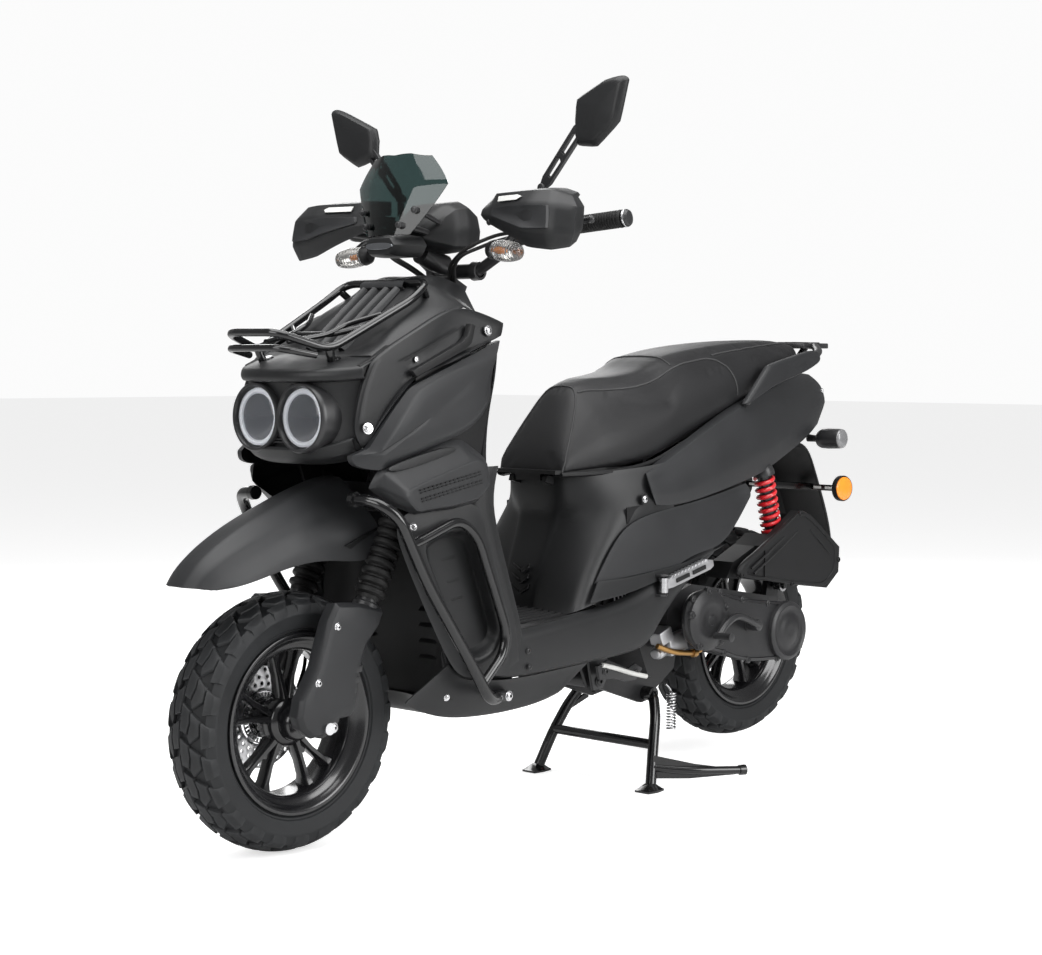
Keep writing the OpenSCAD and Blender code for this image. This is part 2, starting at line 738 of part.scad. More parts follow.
module seat_base() color("black") {
    difference() {
        union() {
            hull() {
                translate([-80, -62, 668]) cube([160, 20, 8]);
                translate([-112, 60, 672]) cube([224, 120, 8]);
            }
            hull() {
                translate([-112, 180, 690]) cube([224, 4, 8]);
                translate([-112, 560, 815]) cube([224, 4, 8]);
            }
            hull() {
                translate([-112, 176, 672]) cube([224, 8, 8]);
                translate([-112, 180, 690]) cube([224, 8, 8]);
            }
            translate([-34, seat_hinge[0] - 7, seat_hinge[1] - 7]) cube([68, 14, 20]);
        }
        pin_x(0, seat_hinge[0], seat_hinge[1], 4 + run, 120);
    }
}

module seat_slice(y, z_low, z_high, w_low, w_high) translate([0, y, 0]) rotate([90, 0, 0])
    linear_extrude(2) polygon([[-w_low, z_low], [w_low, z_low], [w_low + 4, z_low + 30],
                               [w_high, z_high - 14], [w_high - 24, z_high], [24 - w_high, z_high],
                               [-w_high, z_high - 14], [-w_low - 4, z_low + 30]]);

module seat_cushion() color("black") {
    hull() {
        seat_slice(-50, 682, 712, 84, 82);
        seat_slice(45, 682, 848, 114, 50);
    }
    hull() {
        seat_slice(45, 682, 848, 114, 50);
        seat_slice(180, 700, 864, 132, 112);
    }
    hull() {
        seat_slice(180, 700, 864, 132, 112);
        seat_slice(335, 756, 912, 132, 112);
    }
    hull() {
        seat_slice(335, 756, 912, 132, 112);
        seat_slice(560, 830, 935, 128, 108);
    }
    hull() {
        seat_slice(560, 830, 935, 128, 108);
        seat_slice(790, 900, 942, 96, 80);
    }
}

main_frame();
steering_bearings();
floorboard();
lower_cover();
leg_shield();
inner_leg_cover();
front_cowl();
headlight_mask();
headlight_lenses();
front_side_panels();
front_rack();
crash_bars();
body_panels();
tail_covers();
rear_lights();
rear_rack();
storage_bucket();
fuel_tank();
rear_mudguard();
steering_stem();
fork_boots();
front_fender();
handlebar();
hand_guards();
windscreen();
meter_pod();
switch_housings();
left_grip();
front_signals();
fork_sliders();
front_axle();
brake_caliper();
front_tyre();
front_rim();
front_disc();
throttle_grip();
front_brake_lever();
rear_brake_lever();
left_mirror();
right_mirror();
starter_button();
horn_button();
signal_switch();
ignition_key();
engine_case();
cvt_cover();
airbox();
exhaust();
kick_lever();
rear_tyre();
rear_rim();
shock_bodies();
shock_rods();
shock_springs();
centre_stand();
stand_spring();
left_footpeg();
right_footpeg();
seat_base();
seat_cushion();
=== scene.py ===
"""Looks of the moped scooter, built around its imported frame.
Points are in millimetres in the frame's axes: the front faces -Y, the rider's left is +X, Z is up."""
import math

import bmesh
import bpy
from mathutils import Matrix, Vector
from mathutils.bvhtree import BVHTree

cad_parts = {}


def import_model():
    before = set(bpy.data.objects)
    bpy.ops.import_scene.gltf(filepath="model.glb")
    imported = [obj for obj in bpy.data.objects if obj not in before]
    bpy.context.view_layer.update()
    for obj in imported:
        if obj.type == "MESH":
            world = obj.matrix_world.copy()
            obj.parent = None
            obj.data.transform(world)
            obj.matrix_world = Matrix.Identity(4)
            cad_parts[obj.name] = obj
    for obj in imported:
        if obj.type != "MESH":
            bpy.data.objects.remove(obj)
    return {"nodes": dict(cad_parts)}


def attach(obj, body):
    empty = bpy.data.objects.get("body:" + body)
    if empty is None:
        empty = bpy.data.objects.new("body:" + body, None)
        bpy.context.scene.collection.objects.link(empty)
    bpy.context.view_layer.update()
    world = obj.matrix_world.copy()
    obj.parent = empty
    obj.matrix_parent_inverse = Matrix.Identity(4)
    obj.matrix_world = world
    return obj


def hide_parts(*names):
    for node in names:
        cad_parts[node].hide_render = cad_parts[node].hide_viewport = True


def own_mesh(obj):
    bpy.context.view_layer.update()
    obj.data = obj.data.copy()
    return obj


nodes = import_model()["nodes"]
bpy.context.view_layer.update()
SIDES = ((1, "left"), (-1, "right"))

# ---------------------------------------------------------------- materials


def material(name, colour, rough, metal=0.0, grain=0.0, grain_mm=0.5, patch=0.12, wear=0.0, coat=0.0,
             glass=0.0, voronoi=False, glow=0.0, stretch=(1, 1, 1), shine=0.5):
    """Principled material; noise in the object's own space varies its colour, roughness and fine relief."""
    m = bpy.data.materials.new(name)
    m.use_nodes = True
    tree = m.node_tree
    new, wire = tree.nodes.new, tree.links.new
    shader = tree.nodes["Principled BSDF"]
    coords = new("ShaderNodeTexCoord").outputs["Object"]
    stretched = new("ShaderNodeMapping")
    stretched.inputs["Scale"].default_value = stretch
    wire(coords, stretched.inputs["Vector"])

    cloud = new("ShaderNodeTexNoise")
    cloud.inputs["Scale"].default_value = 9.0
    cloud.inputs["Detail"].default_value = 5.0
    wire(stretched.outputs[0], cloud.inputs["Vector"])
    ramp = new("ShaderNodeValToRGB")
    ramp.color_ramp.elements[0].position, ramp.color_ramp.elements[1].position = 0.3, 0.7
    ramp.color_ramp.elements[0].color = [c * (1 - patch) for c in colour] + [1]
    ramp.color_ramp.elements[1].color = [min(1, c * (1 + patch)) for c in colour] + [1]
    wire(cloud.outputs["Fac"], ramp.inputs["Fac"])
    colour_out = ramp.outputs["Color"]
    if wear:
        edge = new("ShaderNodeMapRange")
        edge.inputs["From Min"].default_value, edge.inputs["From Max"].default_value = 0.52, 0.62
        edge.inputs["To Max"].default_value = wear
        wire(new("ShaderNodeNewGeometry").outputs["Pointiness"], edge.inputs["Value"])
        mix = new("ShaderNodeMixRGB")
        mix.inputs["Color2"].default_value = [min(1, c * 1.8 + 0.04) for c in colour] + [1]
        wire(edge.outputs[0], mix.inputs["Fac"])
        wire(colour_out, mix.inputs["Color1"])
        colour_out = mix.outputs["Color"]
    wire(colour_out, shader.inputs["Base Color"])

    spread = new("ShaderNodeMapRange")
    spread.inputs["To Min"].default_value = max(0.0, rough * 0.85)
    spread.inputs["To Max"].default_value = min(1.0, rough * 1.15)
    wire(cloud.outputs["Fac"], spread.inputs["Value"])
    wire(spread.outputs[0], shader.inputs["Roughness"])

    if grain:
        fine = new("ShaderNodeTexVoronoi" if voronoi else "ShaderNodeTexNoise")
        fine.inputs["Scale"].default_value = 1000.0 / grain_mm
        if voronoi:
            fine.feature = "DISTANCE_TO_EDGE"
        wire(stretched.outputs[0], fine.inputs["Vector"])
        bump = new("ShaderNodeBump")
        bump.inputs["Strength"].default_value = grain
        bump.inputs["Distance"].default_value = 0.0002
        wire(fine.outputs[0], bump.inputs["Height"])
        wire(bump.outputs[0], shader.inputs["Normal"])
    shader.inputs["Metallic"].default_value = metal
    shader.inputs["IOR"].default_value = 1.45
    shader.inputs["Specular IOR Level"].default_value = shine
    shader.inputs["Coat Weight"].default_value = coat
    shader.inputs["Coat Roughness"].default_value = 0.12
    shader.inputs["Transmission Weight"].default_value = glass
    if glow:
        wire(colour_out, shader.inputs["Emission Color"])
        shader.inputs["Emission Strength"].default_value = glow
    return m


PLASTIC = material("body_plastic", (0.0085, 0.0088, 0.0095), 0.44, shine=0.4, grain=0.25, grain_mm=0.5,
                   wear=0.25)
PANEL = material("panel_plastic", (0.015, 0.0155, 0.0168), 0.46, shine=0.42, grain=0.3, grain_mm=0.5,
                 wear=0.2)
DARK = material("dark_plastic", (0.005, 0.005, 0.0055), 0.5, shine=0.35, grain=0.35, grain_mm=0.7)
MAT_FLOOR = material("floor_mat", (0.006, 0.006, 0.0065), 0.68, shine=0.3, grain=0.6, grain_mm=1.4)
GLOSS = material("gloss_black", (0.004, 0.004, 0.0045), 0.18, coat=0.3, grain=0.05, grain_mm=3, wear=0.05)
SATIN = material("satin_black", (0.014, 0.014, 0.015), 0.34, grain=0.12, grain_mm=1.0, wear=0.3)
RIM = material("rim_black", (0.008, 0.008, 0.009), 0.22, coat=0.4, grain=0.05, grain_mm=2, wear=0.2)
TYRE = material("tyre_rubber", (0.009, 0.0098, 0.011), 0.62, shine=0.45, grain=0.5, grain_mm=1.2, patch=0.3,
                wear=0.3)
RUBBER = material("soft_rubber", (0.008, 0.008, 0.008), 0.6, shine=0.35, grain=0.4, grain_mm=0.8)
VINYL = material("seat_vinyl", (0.009, 0.009, 0.0098), 0.5, shine=0.4, grain=0.55, grain_mm=1.1, voronoi=True,
                 patch=0.1)
THREAD = material("thread", (0.035, 0.035, 0.036), 0.7, grain=0.5, grain_mm=0.5)
STEEL = material("bright_steel", (0.62, 0.62, 0.63), 0.22, metal=1, grain=0.2, grain_mm=0.6, patch=0.06,
                 stretch=(1, 1, 6))
DISC = material("brake_disc", (0.55, 0.55, 0.56), 0.28, metal=1, grain=0.4, grain_mm=0.8, patch=0.12,
                stretch=(6, 1, 1))
ALLOY = material("cast_alloy", (0.42, 0.42, 0.43), 0.42, metal=1, grain=0.8, grain_mm=1.2, patch=0.15,
                 wear=0.3)
CASING = material("casing_black", (0.010, 0.010, 0.011), 0.40, grain=0.6, grain_mm=1.0, wear=0.4)
BRONZE = material("bronze", (0.38, 0.22, 0.08), 0.4, metal=1, grain=0.3, grain_mm=1)
RED = material("spring_red", (0.55, 0.012, 0.018), 0.3, coat=0.5, grain=0.1, grain_mm=1.5, wear=0.2)
AMBER = material("amber_lens", (0.85, 0.26, 0.02), 0.18, coat=0.6, grain=0.9, grain_mm=2.5, voronoi=True)
GREY_LENS = material("grey_lens", (0.16, 0.16, 0.165), 0.12, coat=0.8, grain=0.5, grain_mm=3, voronoi=True)
RED_LENS = material("red_lens", (0.35, 0.008, 0.008), 0.15, coat=0.8, grain=0.6, grain_mm=3, voronoi=True)
# the halo ring is not lit; its faint glow is painted light that keeps the ring bright white
HALO_PAINTED_GLOW = material("halo_ring_painted_glow", (0.7, 0.71, 0.73), 0.34, grain=0.1, grain_mm=1, glow=0.3)
BOWL = material("lamp_bowl", (0.30, 0.31, 0.33), 0.20, metal=1, grain=0.2, grain_mm=4)
GLASS = material("clear_lens", (0.92, 0.93, 0.95), 0.03, glass=1.0, grain=0.02, grain_mm=4, patch=0.02)
SIGNAL_GLASS = material("signal_glass", (0.5, 0.49, 0.47), 0.06, glass=0.9, grain=0.02, grain_mm=4,
                        patch=0.02)
SMOKE = material("smoke_screen", (0.007, 0.014, 0.0135), 0.05, glass=0.93, grain=0.02, grain_mm=6, patch=0.05)
MIRROR = material("mirror_glass", (0.75, 0.77, 0.79), 0.03, metal=1, grain=0.01, grain_mm=5, patch=0.02)
WHITE = material("white_sleeve", (0.62, 0.62, 0.60), 0.5, grain=0.3, grain_mm=1)

# ---------------------------------------------------------------- mesh tools


def add(p, q, k=1.0):
    return tuple(a + b * k for a, b in zip(p, q))


def rounded(points, radius, closed=False, steps=5):
    """The path through the points with each corner replaced by a curve."""
    pts = [Vector(p) for p in points]
    n = len(pts)
    out = [] if closed else [pts[0]]
    for i in (range(n) if closed else range(1, n - 1)):
        a, b, c = pts[i - 1], pts[i], pts[(i + 1) % n]
        r = min(radius, (a - b).length * 0.48, (c - b).length * 0.48)
        s, e = b + (a - b).normalized() * r, b + (c - b).normalized() * r
        out += [s.lerp(b, t).lerp(b.lerp(e, t), t) for t in (k / steps for k in range(steps + 1))]
    return out if closed else out + [pts[-1]]


def baked_mesh(obj):
    """The object's mesh with its modifiers applied."""
    return bpy.data.meshes.new_from_object(obj.evaluated_get(bpy.context.evaluated_depsgraph_get()))


class Piece:
    """Collects vertices and faces, then becomes one object."""

    def __init__(self):
        self.v, self.f, self.creases = [], [], {}

    def quads(self, rows, closed=False, cap_start=False, cap_end=False, row_crease=None, col_crease=None):
        """Joins rows of points; each row has the same count."""
        base, n = len(self.v), len(rows[0])
        for r in rows:
            self.v += [tuple(p) for p in r]
        for i in range(len(rows) - 1):
            for j in range(n if closed else n - 1):
                a, b = base + i * n + j, base + i * n + (j + 1) % n
                self.f.append((a, b, b + n, a + n))
        if cap_start:
            self.f.append(tuple(base + j for j in reversed(range(n))))
        if cap_end:
            self.f.append(tuple(base + (len(rows) - 1) * n + j for j in range(n)))
        for i, c in (row_crease or {}).items():
            i %= len(rows)
            for j in range(n if closed else n - 1):
                self.creases[frozenset((base + i * n + j, base + i * n + (j + 1) % n))] = c
        for j, c in (col_crease or {}).items():
            j %= n
            for i in range(len(rows) - 1):
                self.creases[frozenset((base + i * n + j, base + (i + 1) * n + j))] = c
        return self

    def sweep(self, points, radius, sides=14, closed=False, flat=1.0, up=None):
        """Round bar along a path; radius may be a list, flat squeezes it along the path's second normal."""
        pts = [Vector(p) for p in points]
        n = len(pts)
        radii = radius if isinstance(radius, (list, tuple)) else [radius] * n
        rows, side = [], None
        for i, p in enumerate(pts):
            before = pts[i - 1] if (i or closed) else p
            after = pts[(i + 1) % n] if (i < n - 1 or closed) else p
            d = (after - before).normalized()
            if side is None:
                side = d.cross(Vector(up) if up else (Vector((0, 0, 1))
                                                      if abs(d.z) < 0.9 else Vector((0, 1, 0))))
            side = (side - d * side.dot(d)).normalized()
            other = d.cross(side)
            rows.append([p + radii[i] * (math.cos(t) * side + math.sin(t) * other * flat)
                         for t in (math.tau * k / sides for k in range(sides))])
        if closed:
            rows.append(rows[0])
        return self.quads(rows, closed=True, cap_start=not closed, cap_end=not closed)

    def pipe(self, points, radius, bend=40, sides=14, closed=False):
        return self.sweep(rounded(points, bend, closed), radius, sides, closed)

    def lathe(self, profile, at, axis, sides=40, caps=True):
        """Profile of (distance along axis, radius) pairs turned about the axis."""
        w = Vector(axis).normalized()
        u = w.orthogonal().normalized()
        v = w.cross(u)
        rows = [[Vector(at) + w * h + r * (math.cos(t) * u + math.sin(t) * v)
                 for t in (math.tau * k / sides for k in range(sides))] for h, r in profile]
        return self.quads(rows, closed=True, cap_start=caps, cap_end=caps)

    def prism(self, outline, depth):
        """Solid between an outline and the same outline moved by depth."""
        return self.quads([outline, [add(p, depth) for p in outline]], closed=True, cap_start=True,
                          cap_end=True)

    def box(self, centre, size, tilt=0.0):
        """Box turned by tilt degrees about X."""
        c, s = math.cos(math.radians(tilt)), math.sin(math.radians(tilt))
        x, y, z = (d / 2 for d in size)
        ring = [(-y, -z), (y, -z), (y, z), (-y, z)]
        ring = [(b * c - a * s, b * s + a * c) for b, a in ring]
        return self.prism([(centre[0] - x, centre[1] + b, centre[2] + a) for b, a in ring], (2 * x, 0, 0))

    def bolt(self, at, axis, r=6.0):
        """Button-head screw with a six-sided socket, on a washer."""
        w = Vector(axis).normalized()
        self.lathe([(-2, r * 1.25), (0.8, r * 1.25), (1.0, r), (r * 0.42, r * 0.93), (r * 0.62, r * 0.66),
                    (r * 0.64, r * 0.52)], at, axis, 20)
        return self.lathe([(r * 0.64, r * 0.5), (r * 0.66, r * 0.42), (r * 0.25, r * 0.42)], at, w, 6)

    def coil(self, start, end, radius, wire, turns, sides=8):
        """Helical spring from start to end with closed end turns."""
        a, b = Vector(start), Vector(end)
        w = (b - a).normalized()
        u = w.orthogonal().normalized()
        v = w.cross(u)
        total, pts = int(turns * 20), []
        dead = 0.6  # closed turns at each end
        for k in range(total + 1):
            t = k / 20.0
            grow = min(max(t - dead, 0), turns - 2 * dead) / (turns - 2 * dead)
            h = wire + (min(t, dead) + max(t - turns + dead, 0)) * wire * 2
            h += ((b - a).length - 2 * wire - 4 * dead * wire) * grow
            q = math.tau * t
            pts.append(a + w * h + radius * (math.cos(q) * u + math.sin(q) * v))
        return self.sweep(pts, wire, sides)

    def build(self, name, body, mat, slot=None, mirror=False, sub=0, thick=0.0, bevel=0.0, angle=32,
              replaces=()):
        """Makes the object, bakes its modifiers and lets it ride on its body."""
        mesh = bpy.data.meshes.new(name)
        mesh.from_pydata([(x / 1000, y / 1000, z / 1000) for x, y, z in self.v], [], self.f)
        if self.creases:
            layer = mesh.attributes.new("crease_edge", "FLOAT", "EDGE")
            for e in mesh.edges:
                layer.data[e.index].value = self.creases.get(frozenset(e.vertices), 0.0)
        obj = bpy.data.objects.new(name, mesh)
        bpy.context.scene.collection.objects.link(obj)
        bm = bmesh.new()
        bm.from_mesh(mesh)
        if not thick:
            bmesh.ops.recalc_face_normals(bm, faces=bm.faces)
        bm.to_mesh(mesh)
        bm.free()
        if sub:
            m = obj.modifiers.new("sub", "SUBSURF")
            m.levels = m.render_levels = sub
            m.boundary_smooth = "PRESERVE_CORNERS"
        if thick:
            m = obj.modifiers.new("thick", "SOLIDIFY")
            m.thickness, m.offset, m.use_even_offset = abs(thick) / 1000, (-1 if thick > 0 else 1), True
        if bevel:
            m = obj.modifiers.new("bevel", "BEVEL")
            m.width, m.segments, m.limit_method, m.angle_limit = bevel / 1000, 3, "ANGLE", math.radians(angle)
            m.use_clamp_overlap = True
        if mirror:
            m = obj.modifiers.new("mirror", "MIRROR")
            m.use_mirror_merge = False
        if obj.modifiers:
            baked = baked_mesh(obj)
            obj.modifiers.clear()
            obj.data = baked
            obj.data.name = name
        obj.data.polygons.foreach_set("use_smooth", [True] * len(obj.data.polygons))
        obj.data.set_sharp_from_angle(angle=math.radians(angle))
        obj.data.materials.clear()
        obj.data.materials.append(mat)
        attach(obj, body)
        if replaces:
            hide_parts(*replaces)
        return obj


def pierced(loops, depth):
    """Flat plate: the first loop is its outline, the others are holes; depth moves its second face."""
    bm = bmesh.new()
    edges = []
    for ring in loops:
        vs = [bm.verts.new(p) for p in ring]
        edges += [bm.edges.new((vs[i], vs[(i + 1) % len(vs)])) for i in range(len(vs))]
    bmesh.ops.triangle_fill(bm, edges=edges, use_beauty=True)
    bm.verts.index_update()
    piece = Piece()
    flat = [tuple(v.co) for v in bm.verts]
    n = len(flat)
    piece.v = flat + [add(p, depth) for p in flat]
    for f in bm.faces:
        ids = [v.index for v in f.verts]
        piece.f += [tuple(ids), tuple(n + i for i in reversed(ids))]
    for e in bm.edges:
        if len(e.link_faces) == 1:
            a, b = (v.index for v in e.verts)
            piece.f.append((a, b, b + n, a + n))
    bm.free()
    return piece


def circle(centre, r, sides=16, axis="z"):
    """Points round a centre in the plane across the axis."""
    out = []
    for k in range(sides):
        u, v = r * math.cos(math.tau * k / sides), r * math.sin(math.tau * k / sides)
        out.append(add(centre, (0, u, v) if axis == "x" else (u, v, 0)))
    return out


def pad(loops, crease=None, **kw):
    """Closed loops from the edge inwards, the last one capped."""
    return Piece().quads(loops, closed=True, cap_end=True, row_crease=crease, **kw)


def at_x(x, *yz):
    return [(x, y, z) for y, z in yz]


def shifted(loop, d):
    return [add(p, d) for p in loop]


def shrunk(loop, k, d=(0, 0, 0)):
    """Loop scaled by k towards its own middle, then moved by d."""
    n = len(loop)
    c = [sum(p[i] for p in loop) / n for i in range(3)]
    return [tuple(c[i] + (p[i] - c[i]) * k + d[i] for i in range(3)) for p in loop]


def flipped(points):
    return [(-x, y, z) for x, y, z in points]


def both_sides(rows):
    """Rows drawn from the middle to the left, each completed with its mirror image on the right."""
    return [flipped(reversed(r[1:])) + r for r in rows]


def across(rows):
    """Upright rows placed from the middle to the left, with their mirror images before them."""
    return [flipped(r) for r in reversed(rows[1:])] + rows


def on_side(sign, points):
    """The points on the left side for a sign of 1, on the right side for -1."""
    return [(sign * x, y, z) for x, y, z in points]


def about(axle, x, r, angle):
    """Point at x, at a radius and an angle round an axle."""
    return (x, axle[1] + r * math.cos(angle), axle[2] + r * math.sin(angle))


# ---------------------------------------------------------------- wheels

FRONT_AXLE, REAR_AXLE = (0, -717, 238), (0, 626, 283)
TREAD_R, PITCHES = 238.0, 24


def tread(x):
    """Radius of the block tops at x from the middle."""
    return TREAD_R - (92 - math.sqrt(92 * 92 - min(abs(x), 60) ** 2))


def tyre(name, centre, body, node):
    piece = Piece()

    half = [(158, 44), (163, 45.5), (168, 46), (171, 50), (174, 50.5), (176, 53.5), (186, 56.2), (198, 57.4),
            (200, 58.2), (203, 58.2), (205, 57.2), (213, 55), (220, 50), (tread(42) - 8, 42),
            (tread(28) - 8, 28), (tread(14) - 8, 14)]
    line = half + [(tread(0) - 8, 0)] + [(r, -x) for r, x in reversed(half)]
    piece.quads([[about(centre, x, r, math.tau * k / 144) for k in range(144)] for r, x in line], closed=True)
    # one pitch: corner points of each block as (x, degrees), the outer end of the lug runs down the sidewall
    pitch = 360.0 / PITCHES
    blocks = [[(1.5, 0.4), (20, 3.2), (22, 8.2), (17, 13.4), (1.5, 12.2)],
              [(23.5, 4.2), (40, 7.2), (41, 13.6), (24, 17.4), (20, 14.6), (25, 8.8)],
              [(43.5, 8.0), (57.2, 10.2), (58.6, 14.6), (57.2, 18.6), (44.5, 19.6)]]
    for k in range(PITCHES):
        for side in (-1, 1):
            for n, outline in enumerate(blocks):
                ring = [(side * x, math.radians(a + (k + (0.5 if side < 0 else 0)) * pitch))
                        for x, a in outline]
                mx = sum(p[0] for p in ring) / len(ring)
                ma = sum(p[1] for p in ring) / len(ring)
                # extra points halfway along each edge let the top follow the round of the tyre
                fine = []
                for i, p in enumerate(ring):
                    q = ring[(i + 1) % len(ring)]
                    fine += [p, ((p[0] + q[0]) / 2, (p[1] + q[1]) / 2)]
                loops = []
                for grow, drop in ((1.03, 11 if n < 2 else 15), (1.0, 1.2), (0.93, 0.0), (0.5, 0.0)):
                    grown = [(mx + (x - mx) * grow, ma + (a - ma) * grow) for x, a in fine]
                    loops.append([about(centre, x, tread(x) - drop, a) for x, a in grown])
                piece.quads(loops, closed=True, cap_end=True)
    return piece.build(name, body, TYRE, angle=38, replaces=(node,))


def rim(name, centre, body, node, right, left):
    piece = Piece()
    well = [(166, -52), (166.5, -49.5), (165, -47), (158, -46), (157, -37), (150, -34), (141, -30), (140, 0),
            (141, 30), (150, 34), (157, 37), (158, 46), (165, 47), (166.5, 49.5), (166, 52), (162, 53),
            (157, 51), (152, 44), (146, 40), (139, 37), (134, 32), (132, 24), (132, -24), (134, -32),
            (139, -37), (146, -40), (152, -44), (157, -51), (162, -53), (166, -52)]
    piece.quads([[about(centre, x, r, math.tau * k / 120) for k in range(120)] for r, x in well], closed=True)
    piece.lathe([(-right, 7), (-right, 24), (-right + 3, 28), (-26, 30), (-22, 42), (-14, 46), (14, 46),
                 (22, 42), (26, 33), (left - 4, 31), (left, 27), (left, 7)], centre, (1, 0, 0), 48)
    for k in range(5):
        for s in (-1, 1):
            a0 = math.radians(72 * k + 90 + s * 7)
            a1 = math.radians(72 * k + 90 + s * 13)
            rows = []
            for t, w, d in ((0, 10, 19), (0.15, 7.5, 17), (0.5, 5.6, 13.5), (0.82, 6.2, 14.5), (1, 10, 20)):
                r, a = 36 + (134 - 36) * t, a0 + (a1 - a0) * t
                out, turn = Vector((0, math.cos(a), math.sin(a))), Vector((0, -math.sin(a), math.cos(a)))
                mid = Vector(centre) + out * r
                rows.append([mid + turn * (w * u) + Vector((d * v, 0, 0)) for u, v in
                             ((-1, -0.7), (-0.55, -1), (0.55, -1), (1, -0.7), (1, 0.7), (0.55, 1), (-0.55, 1),
                              (-1, 0.7))])
            piece.quads(rows, closed=True)
        a = math.radians(72 * k + 90)
        web = [(r, b) for r, b in ((38, -7), (74, -5.5), (80, 0), (74, 5.5), (38, 7))]
        piece.prism([about(centre, -6, r, a + math.radians(b)) for r, b in web], (12, 0, 0))
    return piece.build(name, body, RIM, angle=40, replaces=(node,))


tyre("front_tyre_treaded", FRONT_AXLE, "front_wheel", "front_tyre")
tyre("rear_tyre_treaded", REAR_AXLE, "rear_wheel", "rear_tyre")
rim("front_rim_cast", FRONT_AXLE, "front_wheel", "front_rim", 58, 49)
rim("rear_rim_cast", REAR_AXLE, "rear_wheel", "rear_rim", 40, 40)

sensor = Piece()
sensor.lathe([(-52, 38), (-56, 38), (-56, 30), (-52, 30)], FRONT_AXLE, (1, 0, 0), 60)
for k in range(36):
    a = math.tau * k / 36
    sensor.box(about(FRONT_AXLE, -54, 43, a), (2.4, 8, 3.4), math.degrees(a))
sensor.lathe([(-55, 49), (-53, 49), (-53, 46.5), (-55, 46.5), (-55, 49)], FRONT_AXLE, (1, 0, 0), 60,
             caps=False)
for k in range(5):
    sensor.bolt(about(FRONT_AXLE, -62, 29, math.tau * k / 5), (-1, 0, 0), 4)
sensor.build("disc_sensor_ring", "front_wheel", STEEL)
Piece().lathe([(-13, 27), (-13, 9), (13, 9), (13, 27)], REAR_AXLE, (1, 0, 0), 40).build(
    "rear_hub_sleeve", "rear_wheel", RIM)

# ---------------------------------------------------------------- fork, fender, steering

RAKE, AXLE_LEAD = math.radians(26), 35
FORK_UP = Vector((0, math.sin(RAKE), math.cos(RAKE)))
FORK_BACK = Vector((0, math.cos(RAKE), -math.sin(RAKE)))
STEERING_FOOT = Vector(FRONT_AXLE) + FORK_BACK * AXLE_LEAD


def fork(x, forward, up):
    """Point in the fork's own axes: across, ahead of the steering axis, up along it."""
    p = STEERING_FOOT + FORK_UP * up - FORK_BACK * forward
    return (x, p.y, p.z)


def by_fork(x, back, height):
    """Point near the fork foot: distance behind the steering axis and height above its foot."""
    return fork(x, -back, height)


for sign, side in SIDES:
    tube_piece = Piece()
    x = sign * 92
    tube_piece.lathe([(14, 18), (18, 20.5), (150, 20.5), (222, 20.5), (225, 24), (229, 25), (244, 25),
                      (247, 23), (247, 21), (252, 21), (254, 19), (254, 16.2)], fork(x, 18, 0), FORK_UP, 40)
    tube_piece.lathe([(-20, 18), (-18, 20), (14, 20), (18, 18)], (x, *FRONT_AXLE[1:]), (1, 0, 0), 32)
    tube_piece.build("fork_slider_" + side, "fork_lower", SATIN, replaces=("fork_sliders",))
    shell = Piece()
    outline = [(-692, 462), (-640, 458), (-578, 443), (-590, 418), (-614, 402), (-632, 356), (-641, 334),
               (-646, 288), (-652, 262), (-664, 251), (-690, 250), (-698, 236), (-722, 224), (-752, 222),
               (-776, 240), (-784, 262), (-778, 292), (-752, 330), (-740, 350), (-712, 430)]
    face = [(sign * 118, y + 3, z) for y, z in outline]
    shell.quads([[(sign * 88, p[1], p[2]) for p in shrunk(face, 0.97)],
                 [(sign * 112, p[1], p[2]) for p in face], shrunk(face, 0.94, (sign * 5, 0, 0)),
                 shrunk(face, 0.70, (sign * 7, 0, 0))],
                closed=True, cap_end=True, cap_start=True)
    shell.build("fork_cover_" + side, "fork_lower", PANEL, bevel=1.6, angle=22)
    ribs = Piece()
    for k in range(3):
        y, z = -662 + 7 * k, 296 + 19 * k
        ribs.prism(on_side(sign, [(119, y - 12, z - 5), (119, y + 14, z - 1), (119, y + 16, z + 10),
                                  (119, y - 8, z + 7)]), (sign * 5.5, 0, 0))
    ribs.build("fork_cover_ribs_" + side, "fork_lower", SATIN, "body_plastic", bevel=1.2)
    screws = Piece()
    for y, z, r in ((-693, 419, 6.5), (-739, 322, 6.5), (-703, 238, 7.5)):
        screws.bolt((sign * 123.5, y, z), (sign, 0, 0), r)
    screws.build("fork_screws_" + side, "fork_lower", STEEL)
    boot = Piece()
    profile = [(0, 22), (6, 23)]
    for k in range(9):
        h = 8 + k * 19
        profile += [(h, 22.5), (h + 4, 28.5), (h + 8, 29.5), (h + 12, 28.5), (h + 16, 22.5)]
    profile += [(182, 24), (196, 24), (196, 20), (2, 18)]
    boot.lathe(profile, fork(x, 18, 252), FORK_UP, 40, caps=False)
    cover = boot.build("fork_boot_" + side, "steering", RUBBER, replaces=("fork_boots",))
    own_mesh(cover)

